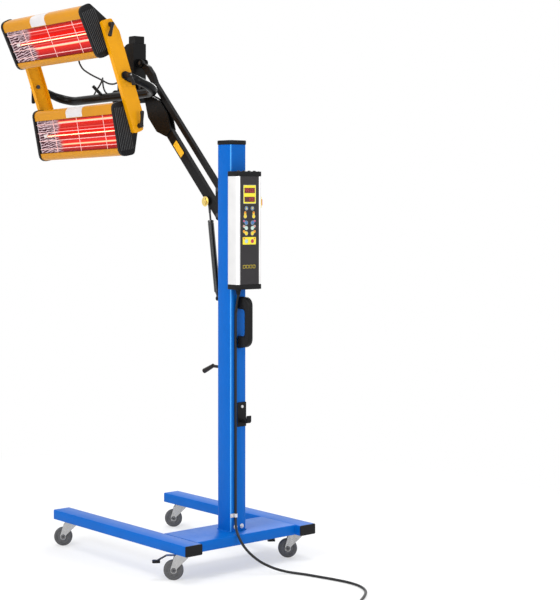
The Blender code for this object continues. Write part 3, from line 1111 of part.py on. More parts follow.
head_bracket = piece("head_bracket", body, BLACK_PAINT, stand, (upper_x, 0, upper_z))

# Yoke, drawn round the roll axis
roll = empty("head_roll_axis", stand, (upper_x + hub_x, 0, upper_z + hub_z), (0, -HEAD_ROLL, 0))
center_x = -HEAD_CENTER_REACH
tilt_y = HEAD_PIVOT_Y
tilt_z = HEAD_PIVOT_RISE
leg_run = Vector((0, YOKE_BACK_Y - tilt_y, -tilt_z))
leg_direction = leg_run.normalized()
web_out = SIDE_ARM_OUTER
tongue_in = web_out + GAP
tongue_out = tongue_in + YOKE_TONGUE
leg_x = tongue_in + YOKE_RADIUS
tilt_point = Vector((center_x, tilt_y, tilt_z))


def yoke_half(side):
    """One leg and its bend, from the flattened end to the middle of the back run."""
    start = tilt_point + Vector((side * leg_x, 0, 0)) + leg_direction * YOKE_TONGUE_LENGTH * 0.6
    straight_end = leg_run.length - YOKE_BEND
    points = [start]
    bend_center = tilt_point + Vector((side * (leg_x - YOKE_BEND), 0, 0)) + leg_direction * straight_end
    for step in range(7):
        angle = math.pi / 2 * step / 6
        points.append(bend_center + Vector((side * YOKE_BEND * math.cos(angle), 0, 0))
                      + leg_direction * YOKE_BEND * math.sin(angle))
    return points


path = [*yoke_half(1), *reversed(yoke_half(-1))]
yoke = meshed(swept([tuple(point) for point in path], YOKE_RADIUS, 3))
tongue_turn = Matrix.Rotation(math.atan2(leg_run.z, leg_run.y), 4, "X")
for side in (-1, 1):
    outline = capsule((0, 0), (YOKE_TONGUE_LENGTH, 0), YOKE_TONGUE_HALF * 0.85, YOKE_TONGUE_HALF * 0.8)
    tongue = prism(outline, side * tongue_in, side * tongue_out, "X")
    yoke = join(yoke, moved(tongue, Matrix.Translation(tilt_point) @ tongue_turn))
hub_out = -BRACKET_HALF_WIDTH - GAP
yoke = join(yoke, bar((0, YOKE_BACK_Y, 0), (0, hub_out, 0), HUB_RADIUS_OUT, ROUND_SIDES),
            bar((0, YOKE_BACK_Y, 0), (0, BRACKET_HALF_WIDTH - 2 * GAP, 0), HUB_STUD_RADIUS, ROUND_SIDES))
stub_start = Vector((STUB_OFFSET, YOKE_BACK_Y, 0))
stub_heading = Vector((-math.cos(STUB_LEAN) * math.sin(STUB_LEAN), -math.sin(STUB_LEAN), math.cos(STUB_LEAN)))
yoke = join(yoke, bar(stub_start, stub_start + stub_heading.normalized() * STUB_LENGTH, STUB_RADIUS))
for side in (-1, 1):
    yoke = cut(yoke, bar(tilt_point + Vector((side * (tongue_in - OVERRUN), 0, 0)),
                         tilt_point + Vector((side * (tongue_out + OVERRUN), 0, 0)), PIVOT_STUD_RADIUS + RUNNING))
yoke = piece("yoke", yoke, BLACK_PAINT, roll)

# Side arms: folded channels open toward the cassettes
frame = empty("frame_tilt_axis", roll, tuple(tilt_point), (HEAD_TILT, 0, 0))
arm_half_length = SIDE_ARM_LENGTH / 2
taper_start = arm_half_length - SIDE_ARM_TAPER
tip_fillet = SIDE_ARM_TIP_FILLET


def side_outline(inset):
    front_edge = -SIDE_ARM_FRONT + inset
    rear_edge = SIDE_ARM_REAR - inset
    tip_edge = SIDE_ARM_TIP_REAR - inset
    end = arm_half_length - inset
    return rounded(((front_edge, -end, tip_fillet), (tip_edge, -end, tip_fillet), (rear_edge, -taper_start, 3 * tip_fillet),
                    (rear_edge, taper_start, 3 * tip_fillet), (tip_edge, end, tip_fillet),
                    (front_edge, end, tip_fillet)), 4)


stud_reach = web_out + YOKE_TONGUE + 2 * GAP + PIVOT_STUD_LENGTH
for name, side in (("right_side_arm", 1), ("left_side_arm", -1)):
    channel = prism(side_outline(0), side * SIDE_ARM_INNER, side * SIDE_ARM_OUTER, "X")
    channel = cut(channel, prism(side_outline(SIDE_ARM_WALL), side * (SIDE_ARM_INNER - OVERRUN),
                                 side * (SIDE_ARM_OUTER - SIDE_ARM_WALL), "X"))
    for end in (-1, 1):
        z = end * CASSETTE_SPACING / 2
        channel = cut(channel, bar((side * (SIDE_ARM_INNER - OVERRUN), 0, z), (side * (SIDE_ARM_OUTER + OVERRUN), 0, z),
                                   PIVOT_STUD_RADIUS + RUNNING))
    channel = join(channel, bar((side * (SIDE_ARM_OUTER - SIDE_ARM_WALL / 2), 0, 0), (side * stud_reach, 0, 0),
                                PIVOT_STUD_RADIUS),
                   bar((side * (SIDE_ARM_OUTER - SIDE_ARM_WALL - BOLT_HEAD), 0, 0),
                       (side * (SIDE_ARM_OUTER - SIDE_ARM_WALL / 2), 0, 0), BOLT_HEAD_RADIUS, 12))
    piece(name, channel, YELLOW, frame)


def clamp_lever(side, hub_length, length, angle):
    """A clamp lever drawn round its stud, pointing forward and up at an angle."""
    heading = Vector((side * math.sin(LEVER_LEAN), -math.cos(angle) * math.cos(LEVER_LEAN),
                      math.sin(angle) * math.cos(LEVER_LEAN)))
    start = Vector((side * hub_length * 0.75, 0, 0))
    made = bar((0, 0, 0), (side * hub_length, 0, 0), CLAMP_HUB_RADIUS, ROUND_SIDES,
               CLAMP_HUB_RADIUS * 0.85)
    made = join(made, bar(start, start + heading * length, CLAMP_LEVER_RADIUS, 12, CLAMP_LEVER_END_RADIUS))
    return cut(made, bar((-side * OVERRUN, 0, 0), (side * (PIVOT_STUD_LENGTH + GAP), 0, 0),
                         PIVOT_STUD_RADIUS + RUNNING))


piece("right_clamp_lever", clamp_lever(1, YOKE_CLAMP_HUB_LENGTH, *RIGHT_LEVER), BLACK_PLASTIC, frame, (tongue_out + GAP, 0, 0))
piece("left_clamp_lever", clamp_lever(-1, YOKE_CLAMP_HUB_LENGTH, *LEFT_LEVER), BLACK_PLASTIC, frame, (-tongue_out - GAP, 0, 0))


# Cassettes, drawn round their pivots with the opening toward -Y
def cassette_outline(inset):
    return rounded(((-CASSETTE_FRONT + inset, CASSETTE_BOTTOM + inset, 0.024 - inset),
                    (-CASSETTE_BOTTOM_BACK - inset, CASSETTE_BOTTOM + inset, 0.016 - inset),
                    (-CASSETTE_MIDDLE_BACK - inset, 0.0, 0.030),
                    (-CASSETTE_TOP_BACK - inset, CASSETTE_TOP - inset, 0.016 - inset),
                    (-CASSETTE_FRONT + inset, CASSETTE_TOP - inset, 0.022 - inset)), 4)


def cap_outline_points(inset):
    ear = CAP_EAR_RADIUS
    return rounded(((-CASSETTE_FRONT - CASSETTE_INSET + inset, CASSETTE_BOTTOM - CASSETTE_INSET + inset, 0.030 - inset),
                    (-CASSETTE_BOTTOM_BACK - inset, CASSETTE_BOTTOM - CASSETTE_INSET + inset, 0.018 - inset),
                    (ear - inset, -ear * 0.2, ear * 0.9), (ear - inset, ear * 1.2, ear * 0.9),
                    (-CASSETTE_TOP_BACK - inset, CASSETTE_TOP + CASSETTE_INSET - inset, 0.018 - inset),
                    (-CASSETTE_FRONT - CASSETTE_INSET + inset, CASSETTE_TOP + CASSETTE_INSET - inset, 0.026 - inset)), 4)


def cassette(name, height, tilt, lever):
    axis = empty(f"{name}_tilt_axis", frame, (0, 0, height), (tilt - HEAD_TILT, 0, 0))
    shell_half = CASSETTE_HALF - CASSETTE_CAP - GAP
    shell = prism(cassette_outline(0), -shell_half, shell_half, "X")
    shell = cut(shell, prism(cassette_outline(CASSETTE_WALL), -shell_half - OVERRUN, shell_half + OVERRUN, "X"))
    shell = cut(shell, block((-shell_half - OVERRUN, -CASSETTE_FRONT - OVERRUN, OPENING_BOTTOM),
                             (shell_half + OVERRUN, -CASSETTE_FRONT + CASSETTE_WALL + OVERRUN, OPENING_TOP)))
    for edge, way in ((OPENING_TOP, 1), (OPENING_BOTTOM, -1)):
        lip = block((-shell_half, -CASSETTE_FRONT, min(edge, edge + way * CASSETTE_WALL)),
                    (shell_half, -CASSETTE_FRONT + OPENING_LIP, max(edge, edge + way * CASSETTE_WALL)))
        shell = join(shell, lip)
    piece(f"{name}_cassette_shell", shell, YELLOW, axis)
    for label, side in (("right", 1), ("left", -1)):
        inner_face = side * (CASSETTE_HALF - CASSETTE_CAP)
        outer_face = side * (CASSETTE_HALF - CAP_RIB)
        cover = prism(cap_outline_points(0), inner_face, outer_face, "X")
        ribs = []
        pitch = (CASSETTE_FRONT - CASSETTE_BOTTOM_BACK) / CAP_RIB_COUNT
        for count in range(CAP_RIB_COUNT):
            y = -CASSETTE_FRONT + pitch * (count + 0.5)
            reach = CASSETTE_TOP * (0.80 if count in (0, CAP_RIB_COUNT - 1) else 0.90)
            ribs.append(block((min(outer_face - side * CAP_RIB, side * CASSETTE_HALF), y - pitch / 5, -reach),
                              (max(outer_face - side * CAP_RIB, side * CASSETTE_HALF), y + pitch / 5, reach)))
        cover = join(cover, *ribs)
        boss_end = side * (SIDE_ARM_OUTER - SIDE_ARM_WALL - GAP)
        stud_end = side * (SIDE_ARM_OUTER + GAP + PIVOT_STUD_LENGTH)
        cover = join(cover, bar((outer_face - side * CASSETTE_CAP / 2, 0, 0), (boss_end, 0, 0), PIVOT_BOSS_RADIUS,
                                ROUND_SIDES),
                     bar((boss_end - side * CAP_RIB, 0, 0), (stud_end, 0, 0), PIVOT_STUD_RADIUS))
        if side < 0:
            cover = join(cover, bar((-SIDE_ARM_OUTER - GAP, 0, 0), (stud_end, 0, 0), BOLT_HEAD_RADIUS, 6))
        piece(f"{name}_cassette_{label}_cap", cover, BLACK_PLASTIC, axis)
    # Reflector trough with its two end plates
    end_face = CASSETTE_HALF - CASSETTE_CAP - GAP
    top = OPENING_TOP - REFLECTOR_FIT
    bottom = OPENING_BOTTOM + REFLECTOR_FIT
    middle = (top + bottom) / 2
    half = (top - bottom) / 2
    rim = -OPENING_PLANE

    def trough(inset):
        outer = []
        for step in range(REFLECTOR_POINTS + 1):
            share = -1 + 2 * step / REFLECTOR_POINTS
            outer.append((rim + REFLECTOR_DEPTH * (1 - share * share) - inset * (1 - abs(share)) * 1.0,
                          middle + share * (half - inset)))
        return outer

    outer = trough(0)
    inner = trough(REFLECTOR_WALL)
    trough_outline = [*outer, *reversed(inner)]
    reflector = prism(trough_outline, -end_face + REFLECTOR_END / 2, end_face - REFLECTOR_END / 2, "X")
    for side in (-1, 1):
        reflector = join(reflector, prism(outer, side * (end_face - GAP), side * (end_face - REFLECTOR_END), "X"))
    piece(f"{name}_reflector", reflector, REFLECTOR, axis)
    # Lamp tube between the end plates
    lamp_end = end_face - REFLECTOR_END - GAP
    lamp = [(0, -lamp_end), (LAMP_END_RADIUS, -lamp_end), (LAMP_END_RADIUS, -lamp_end + LAMP_END_LENGTH),
            (LAMP_RADIUS, -lamp_end + LAMP_END_LENGTH + LAMP_RADIUS), (LAMP_RADIUS, lamp_end - LAMP_END_LENGTH - LAMP_RADIUS),
            (LAMP_END_RADIUS, lamp_end - LAMP_END_LENGTH), (LAMP_END_RADIUS, lamp_end), (0, lamp_end)]
    lamp = moved(turned(lamp, PIN_SIDES), Matrix.Rotation(math.pi / 2, 4, "Y"))
    lamp = moved(lamp, Matrix.Translation((0, -LAMP_FORWARD, middle)))
    piece(f"{name}_lamp_tube", lamp, QUARTZ, axis)
    # Wire guard just inside the opening
    plane = -OPENING_PLANE - GUARD_SETBACK / 2
    cross_top = OPENING_TOP - GAP
    cross_bottom = OPENING_BOTTOM + GAP
    long_end = end_face - GAP
    guard = None
    for count in range(GUARD_CROSS_WIRES):
        x = (count + 1) / (GUARD_CROSS_WIRES + 1) * 2 * long_end - long_end
        wire = bar((x, plane, cross_bottom), (x, plane, cross_top), GUARD_WIRE, 6)
        guard = wire if guard is None else join(guard, wire)
    for count in range(GUARD_LONG_WIRES):
        z = cross_bottom + (count + 0.5) / GUARD_LONG_WIRES * (cross_top - cross_bottom)
        guard = join(guard, bar((-long_end, plane, z), (long_end, plane, z), GUARD_WIRE, 6, turn=math.pi / 6))
    return axis, guard


for name, height, tilt, lever in (("upper", CASSETTE_SPACING / 2, UPPER_TILT, UPPER_LEVER),
                                  ("lower", -CASSETTE_SPACING / 2, LOWER_TILT, LOWER_LEVER)):
    axis, guard = cassette(name, height, tilt, lever)
    piece(f"{name}_wire_guard", guard, STEEL, axis)
    piece(f"{name}_tilt_lever", clamp_lever(1, CLAMP_HUB_LENGTH, *lever), BLACK_PLASTIC, frame,
          (SIDE_ARM_OUTER + GAP, 0, height), (-HEAD_TILT, 0, 0))
for lever in ("right_clamp_lever", "left_clamp_lever"):
    bpy.data.objects[lever].rotation_euler = (-HEAD_TILT, 0, 0)

# Leads between cassettes and yoke
bpy.context.view_layer.update()


def lead(name, route, parent):
    inverse = parent.matrix_world.inverted()
    points = [tuple(inverse @ Vector(point)) for point in smooth_path(route, 7 * LEAD_RADIUS)]
    return piece(name, swept(points, LEAD_RADIUS, 1), CABLE, parent)


lead("upper_head_lead", UPPER_LEAD, frame)
lead("lower_head_lead", LOWER_LEAD, roll)

# Origin: the middle of the footprint under everything but the free cord
bpy.context.view_layer.update()
graph = bpy.context.evaluated_depsgraph_get()
CORD_NODES = ("mains_cord", "mains_coil", "mains_plug")
lowest = [math.inf, math.inf]
highest = [-math.inf, -math.inf]
for made in bpy.data.objects:
    if made.type == "EMPTY" or made.name in CORD_NODES:
        continue
    evaluated = made.evaluated_get(graph)
    shape = evaluated.to_mesh()
    for vertex in shape.vertices:
        place = made.matrix_world @ vertex.co
        for index in (0, 1):
            lowest[index] = min(lowest[index], place[index])
            highest[index] = max(highest[index], place[index])
    evaluated.to_mesh_clear()
stand.location = (-(lowest[0] + highest[0]) / 2, -(lowest[1] + highest[1]) / 2, 0)
bpy.context.view_layer.update()

gap = math.inf
for index, point in enumerate(coil):
    for other in coil[index + COIL_POINTS // 2:]:
        gap = min(gap, (Vector(point) - Vector(other)).length - 2 * CABLE_RADIUS)
length = sum((Vector(a) - Vector(b)).length for a, b in zip(coil, coil[1:]))
length += sum((Vector(a) - Vector(b)).length for a, b in zip(cord_points, cord_points[1:]))
print(f"least gap of the coil to itself {gap * 1000:.2f} mm, free cord {length:.2f} m")
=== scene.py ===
# Infrared paint curing lamp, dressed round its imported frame:
# wheeled stand, timer box, sprung arm and two cassettes
import json
import math

import bmesh
import bpy
from mathutils import Matrix, Vector

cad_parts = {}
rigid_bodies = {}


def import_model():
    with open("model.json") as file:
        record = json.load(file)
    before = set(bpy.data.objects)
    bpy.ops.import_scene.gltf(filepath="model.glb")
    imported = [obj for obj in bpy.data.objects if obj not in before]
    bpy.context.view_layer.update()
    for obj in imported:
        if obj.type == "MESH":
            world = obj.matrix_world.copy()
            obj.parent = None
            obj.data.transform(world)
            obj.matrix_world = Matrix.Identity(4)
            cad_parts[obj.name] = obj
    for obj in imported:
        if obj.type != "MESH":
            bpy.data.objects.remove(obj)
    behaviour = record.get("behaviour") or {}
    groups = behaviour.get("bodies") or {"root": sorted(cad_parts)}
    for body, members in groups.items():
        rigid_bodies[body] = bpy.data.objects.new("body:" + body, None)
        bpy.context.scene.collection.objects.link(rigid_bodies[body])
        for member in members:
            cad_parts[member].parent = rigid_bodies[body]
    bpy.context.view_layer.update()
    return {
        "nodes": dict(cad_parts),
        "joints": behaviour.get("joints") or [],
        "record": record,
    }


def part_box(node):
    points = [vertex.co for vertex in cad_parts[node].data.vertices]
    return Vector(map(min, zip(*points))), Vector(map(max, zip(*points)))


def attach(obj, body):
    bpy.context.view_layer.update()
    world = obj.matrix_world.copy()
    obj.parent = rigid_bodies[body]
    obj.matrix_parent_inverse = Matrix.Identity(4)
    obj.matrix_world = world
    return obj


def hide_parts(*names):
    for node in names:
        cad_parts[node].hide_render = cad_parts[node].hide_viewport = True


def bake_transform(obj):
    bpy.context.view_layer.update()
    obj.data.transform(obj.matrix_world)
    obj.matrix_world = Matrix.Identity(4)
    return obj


for old in list(bpy.data.objects):
    bpy.data.objects.remove(old, do_unlink=True)
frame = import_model()
nodes = frame["nodes"]
bodyOf = {node: body for body, members in frame["record"]["behaviour"]["bodies"].items() for node in members}
jointAt = {joint["name"]: Vector(joint.get("pos_m", (0, 0, 0))) for joint in frame["joints"]}
capLow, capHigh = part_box("column_cap")
# The column's axis on the floor
columnFoot = Vector(((capLow.x + capHigh.x) / 2, (capLow.y + capHigh.y) / 2, 0))
fromColumn = Matrix.Translation(columnFoot)
print("frame loaded,", len(nodes), "nodes")


# Sockets and nodes
class Wire:  # one output socket, so that node maths reads as plain expressions
    def __init__(self, graph, socket):
        self.graph, self.socket = graph, socket

    def maths(self, operation, *others):
        return self.graph.node("ShaderNodeMath", {"operation": operation}, [self, *others])

    def beside(self, output):  # another output of the same node
        return Wire(self.graph, self.socket.node.outputs[output])

    def __add__(self, other):
        return self.maths("ADD", other)

    def __mul__(self, other):
        return self.maths("MULTIPLY", other)

    def __sub__(self, other):
        return self.maths("SUBTRACT", other)

    def __rsub__(self, other):
        return self.graph.node("ShaderNodeMath", {"operation": "SUBTRACT"}, [other, self])

    def __truediv__(self, other):
        return self.maths("DIVIDE", other)


class Graph:
    def __init__(self, tree):
        self.tree = tree

    def node(self, kind, settings=None, values=(), output=0):
        made = self.tree.nodes.new(kind)
        for key, value in (settings or {}).items():
            if key == "stops":
                ramp = made.color_ramp
                while len(ramp.elements) < len(value):
                    ramp.elements.new(0.5)
                for element, (position, color) in zip(ramp.elements, value):
                    element.position = position
                    element.color = (*color, 1.0)
            else:
                setattr(made, key, value)
        for key, value in (values.items() if isinstance(values, dict) else enumerate(values)):
            if isinstance(value, Wire):
                self.tree.links.new(value.socket, made.inputs[key])
            elif value is not None:
                made.inputs[key].default_value = value
        return Wire(self, made.outputs[output])

    def smooth(self, value, start, end, low, high):  # an eased step from low to high
        return self.node("ShaderNodeMapRange", {"interpolation_type": "SMOOTHSTEP"},
                         {"Value": value, "From Min": start, "From Max": end, "To Min": low, "To Max": high})


class Look(Graph):
    def __init__(self, name, color, rough, metal=0.0):
        self.material = bpy.data.materials.new(name)
        self.material.use_nodes = True
        super().__init__(self.material.node_tree)
        self.shader = self.tree.nodes["Principled BSDF"]
        self.give("Base Color", (*color, 1.0))
        self.give("Roughness", rough)
        self.give("Metallic", metal)

    def give(self, socket, value):
        if isinstance(value, Wire):
            self.tree.links.new(value.socket, self.shader.inputs[socket])
        else:
            self.shader.inputs[socket].default_value = value

    def place(self, scale=(1, 1, 1), kind="Object"):
        spot = self.node("ShaderNodeTexCoord", output=kind)
        return self.node("ShaderNodeMapping", {"vector_type": "POINT"}, {"Vector": spot, "Scale": scale})

    def grain(self, scale, detail=2.0, where=None):
        return self.node("ShaderNodeTexNoise", {},
                         {"Vector": where or self.place(), "Scale": scale, "Detail": detail})

    def between(self, share, first, second):
        first, second = [color if isinstance(color, Wire) else (*color, 1.0) for color in (first, second)]
        mix = self.tree.nodes.new("ShaderNodeMix")
        mix.data_type = "RGBA"
        for socket, value in ((mix.inputs[0], share), (mix.inputs[6], first), (mix.inputs[7], second)):
            if isinstance(value, Wire):
                self.tree.links.new(value.socket, socket)
            else:
                socket.default_value = value
        return Wire(self, mix.outputs[2])

    def bump(self, height, strength, distance=0.0005):
        self.give("Normal",
                  self.node("ShaderNodeBump", {},
                            {"Height": height, "Strength": strength, "Distance": distance}))


def shade(color, factor):
    return tuple(min(1.0, part * factor) for part in color)


# Finishes
def powderCoat(name, color, rough, peel=0.1, coat=0.25, shine=0.5):  # satin paint with a faint orange peel
    look = Look(name, color, rough)
    look.give("Specular IOR Level", shine)
    cloud = look.grain(7.0, 3.0)
    look.give("Base Color", look.between(cloud, shade(color, 0.9), shade(color, 1.08)))
    look.give("Roughness", look.grain(60.0) * 0.12 + (rough - 0.06))
    look.give("Coat Weight", coat)
    look.give("Coat Roughness", 0.12)
    look.bump(look.grain(650.0, 1.0), peel, 0.0004)
    return look


def mouldedPlastic(name, color, rough, texture=0.22, scale=1400.0, shine=0.5):  # fine spark-eroded texture
    look = Look(name, color, rough)
    look.give("Specular IOR Level", shine)
    speck = look.grain(scale, 1.0)
    look.give("Base Color", look.between(look.grain(12.0, 3.0), shade(color, 0.82), shade(color, 1.25)))
    look.give("Roughness", speck * 0.16 + (rough - 0.08))
    look.bump(speck, texture, 0.0003)
    return look


def brightMetal(name, color, rough, blotch=30.0, brushed=None):  # zinc, steel or brushed aluminium
    look = Look(name, color, rough, 1.0)
    patch = look.grain(blotch, 4.0)
    look.give("Base Color", look.between(patch, shade(color, 0.8), shade(color, 1.1)))
    if brushed:
        strokes = look.grain(1.0, 2.0, look.place(scale=brushed))
        look.give("Roughness", strokes * 0.22 + (rough - 0.08))
        look.bump(strokes, 0.1, 0.0002)
    else:
        look.give("Roughness", patch * 0.2 + (rough - 0.1))
        look.bump(look.grain(420.0, 2.0), 0.06, 0.0003)
    return look


def glowing(name, color, light, strength, rough=0.3):
    look = Look(name, color, rough)
    look.give("Base Color", look.between(look.grain(80.0), shade(color, 0.85), color))
    look.give("Emission Color", (*light, 1.0))
    look.give("Emission Strength", strength)
    return look


def glossyPlastic(name, color, rough=0.28):
    look = Look(name, color, rough)
    look.give("Base Color", look.between(look.grain(40.0, 2.0), shade(color, 0.9), shade(color, 1.08)))
    look.give("Roughness", look.grain(200.0) * 0.1 + (rough - 0.05))
    look.give("Coat Weight", 0.3)
    look.bump(look.grain(900.0, 1.0), 0.04, 0.0002)
    return look


def tyreRubber(name, color):
    look = Look(name, color, 0.75)
    dust = look.grain(22.0, 5.0)
    look.give("Base Color", look.between(dust, shade(color, 0.75), shade(color, 1.55)))
    look.give("Roughness", dust * 0.2 + 0.62)
    look.bump(look.grain(500.0, 3.0), 0.18, 0.0004)
    return look


bluePowder = powderCoat("bluePowderCoat", (0.0004, 0.118, 0.5), 0.36, 0.08, 0.01, 0.1)
# A lighter blue for the column's long corners: a painted highlight along them
bluePaintedCornerHighlight = powderCoat("blueCornerSheen", (0.05, 0.36, 0.82), 0.2, 0.04, 0.3, 0.6)
blackPowder = powderCoat("blackPowderCoat", (0.0046, 0.0046, 0.005), 0.3, 0.14, 0.02, 0.14)
blackGloss = powderCoat("blackGlossPaint", (0.004, 0.004, 0.0043), 0.13, 0.03, 0.55, 0.5)
yellowPowder = powderCoat("yellowPowderCoat", (0.78, 0.335, 0.0012), 0.36, 0.08, 0.04, 0.2)
# The shells' copy of the yellow paint, darker than the arms' to offset the light on them: painted shade
yellowShellShaded = powderCoat("yellowShellCoat", (0.57, 0.236, 0.0009), 0.34, 0.08, 0.05, 0.22)
patchAmber = glossyPlastic("blankAmberPatch", (0.82, 0.43, 0.016), 0.4)
blackPlastic = mouldedPlastic("blackPlastic", (0.0075, 0.0075, 0.0082), 0.38, 0.16, 1400.0, 0.14)
leverPlastic = mouldedPlastic("leverPlastic", (0.012, 0.009, 0.008), 0.32, 0.1, 1400.0, 0.2)
greyPlastic = mouldedPlastic("greyPlastic", (0.1, 0.1, 0.104), 0.5)
boxAluminium = brightMetal("boxAluminium", (0.9, 0.895, 0.895), 0.44, 9.0, (700, 700, 9))
zincPlate = brightMetal("zincPlate", (0.72, 0.72, 0.735), 0.34, 60.0)
forkZinc = brightMetal("forkZinc", (0.47, 0.468, 0.47), 0.26, 70.0)
yellowZinc = brightMetal("yellowZinc", (0.9, 0.69, 0.24), 0.36, 80.0)
darkSteel = brightMetal("darkSteel", (0.09, 0.09, 0.095), 0.38, 60.0)
rodBlack = brightMetal("nitridedRod", (0.06, 0.06, 0.064), 0.2, 40.0)
pinSteel = brightMetal("pinSteel", (0.8, 0.8, 0.81), 0.22, 40.0)
tyreGrey = tyreRubber("tyreGrey", (0.07, 0.07, 0.073))
cableRubber = mouldedPlastic("cableRubber", (0.0085, 0.0085, 0.009), 0.44, 0.08, 900.0, 0.3)
panelFoil = mouldedPlastic("panelFoil", (0.026, 0.024, 0.026), 0.46, 0.05, 2200.0, 0.24)
# Lighter grey for the cap ribs: painted highlights along them
ribPlastic = mouldedPlastic("ribPlastic", (0.06, 0.06, 0.062), 0.4, 0.04, 1400.0, 0.3)
patchWhite = glossyPlastic("blankPatch", (0.64, 0.615, 0.62), 0.4)
keyBlue = glossyPlastic("keyBlue", (0.05, 0.18, 0.44))
keyMint = glossyPlastic("keyMint", (0.56, 0.74, 0.66))
keyYellow = glossyPlastic("keyYellow", (0.86, 0.64, 0.02))
keyPale = glossyPlastic("keyPale", (0.42, 0.62, 0.7))
keyRed = glossyPlastic("keyRed", (0.52, 0.012, 0.04))
bezelYellow = glossyPlastic("bezelYellow", (0.9, 0.76, 0.02), 0.36)
bezelGrey = glossyPlastic("bezelGrey", (0.42, 0.42, 0.38), 0.4)
indicatorRed = glowing("indicatorRed", (0.5, 0.03, 0.02), (0.9, 0.06, 0.03), 0.35)
displayDark = glossyPlastic("displayDark", (0.085, 0.004, 0.005), 0.16)
digitRed = glowing("digitRed", (0.5, 0.016, 0.02), (0.8, 0.03, 0.04), 0.35)
switchYellow = glossyPlastic("switchYellow", (0.85, 0.74, 0.07), 0.32)
switchRed = glossyPlastic("switchRed", (0.64, 0.006, 0.022), 0.24)
print("finishes made")


# Outlines and shapes, each drawn in the piece's own axes
def filleted(corners, steps=6):  # (a, b, radius) corners to the points of a rounded outline
    points = []
    for index, (a, b, radius) in enumerate(corners):
        here = Vector((a, b))
        before = Vector(corners[index - 1][:2]) - here
        after = Vector(corners[(index + 1) % len(corners)][:2]) - here
        if radius <= 0:
            points.append((a, b))
            continue
        half = before.angle(after) / 2
        reach = min(radius / math.tan(half), before.length * 0.49, after.length * 0.49)
        radius = reach * math.tan(half)
        middle = here + (before.normalized() + after.normalized()).normalized() * radius / math.sin(half)
        start = here + before.normalized() * reach - middle
        sweep = start.angle_signed(here + after.normalized() * reach - middle)
        for step in range(steps + 1):
            points.append(tuple(middle + Matrix.Rotation(-sweep * step / steps, 2) @ start))
    return points


def oblong(left, right, low, high, radius=0.0, steps=6):
    return filleted(((left, low, radius), (right, low, radius), (right, high, radius), (left, high, radius)),
                    steps)


def circle(a, b, radius, sides=32):
    angles = [2 * math.pi * step / sides for step in range(sides)]
    return [(a + radius * math.cos(angle), b + radius * math.sin(angle)) for angle in angles]


def skin(rings, shape):  # closes a run of equal rings of points
    made = [[shape.verts.new(point) for point in ring] for ring in rings]
    faces = [shape.faces.new(made[0]), shape.faces.new(made[-1])]
    for low, high in zip(made, made[1:]):
        for step in range(len(low)):
            after = (step + 1) % len(low)
            faces.append(shape.faces.new((low[step], low[after], high[after], high[step])))
    bmesh.ops.recalc_face_normals(shape, faces=faces)
    return shape


def slab(outline, start, end, axis="X", into=None):  # an outline pushed along one axis
    shape = into or bmesh.new()
    spot = {"X": lambda a, b, t: (t, a, b), "Y": lambda a, b, t: (a, t, b), "Z": lambda a, b,
            t: (a, b, t)}[axis]
    return skin([[spot(a, b, t) for a, b in outline] for t in (start, end)], shape)


def lathe(profile, sides=48, into=None, place=None):  # (radius, height) points turned about Z
    shape = into or bmesh.new()
    rings = []
    for radius, height in profile:
        ring = circle(0, 0, radius, sides)[:1 if radius == 0 else sides]
        rings.append([shape.verts.new((a, b, height)) for a, b in ring])
    faces = []
    pairs = list(zip(rings, rings[1:]))
    if profile[0][0] > 0 and profile[-1][0] > 0:
        pairs.append((rings[-1], rings[0]))
    for low, high in pairs:
        for step in range(sides):
            after = (step + 1) % sides
            corners = [
                low[step % len(low)], low[after % len(low)], high[after % len(high)], high[step % len(high)]]
            faces.append(shape.faces.new(list(dict.fromkeys(corners))))
    bmesh.ops.recalc_face_normals(shape, faces=faces)
    if place:
        bmesh.ops.transform(shape, matrix=place, verts=[vert for ring in rings for vert in ring])
    return shape


def pipe(points, radii, sides, into=None):  # a round bar along a path, with a radius for each point
    along = [(after - before).normalized() for before,
             after in zip([points[0], *points[:-1]], [*points[1:], points[-1]])]
    side = along[0].orthogonal().normalized()
    rings = []
    for point, heading, size in zip(points, along, radii):
        side = (side - heading * side.dot(heading)).normalized()
        other = heading.cross(side)
        rings.append([point + (side * a + other * b) * size for a, b in circle(0, 0, 1, sides)])
    return skin(rings, into or bmesh.new())


def roundEnd(radius, height, steps):  # quarter-round points that close a turned profile on its axis
    angles = [math.pi / 2 * step / steps for step in range(1, steps)]
    return [*((radius * math.cos(angle), height + radius * math.sin(angle)) for angle in angles),
            (0, height + radius)]


def smoothPath(route, spacing):  # points of a smooth curve through the route
    knots = [Vector(point) for point in route]
    knots = [2 * knots[0] - knots[1], *knots, 2 * knots[-1] - knots[-2]]
    points = []
    for before, start, end, after in zip(knots, knots[1:], knots[2:], knots[3:]):
        count = max(1, math.ceil((end - start).length / spacing))
        for step in range(count):
            t = step / count
            points.append(0.5 * (2 * start + (end - before) * t + (2 * before - 5 * start + 4 * end - after)
                                 * t * t + (3 * start - before - 3 * end + after) * t * t * t))
    return [*points, knots[-2]]


# Pieces
def placed(name, data):
    made = bpy.data.objects.new(name, data)
    bpy.context.scene.collection.objects.link(made)
    return made


def pieceFrom(name, shape, look, place=None, crease=35, edges=0.0, segments=2):
    mesh = bpy.data.meshes.new(name)
    shape.to_mesh(mesh)
    shape.free()
    if place:
        mesh.transform(place)
    mesh.materials.append(look.material)
    made = placed(name, mesh)
    if edges:
        bevelled(made, edges, segments, crease)
    made.data.shade_smooth()
    if not edges:
        made.data.set_sharp_from_angle(angle=math.radians(crease))
    return made


def applied(made):
    made.data = bpy.data.meshes.new_from_object(made.evaluated_get(bpy.context.evaluated_depsgraph_get()))
    made.modifiers.clear()
    return made


def bevelled(made, width, segments, angle):
    made.data.shade_smooth()
    bevel = made.modifiers.new("edges", "BEVEL")
    bevel.width, bevel.segments, bevel.limit_method = width, segments, "ANGLE"
    bevel.angle_limit = math.radians(angle)
    bevel.harden_normals = True
    return applied(made)


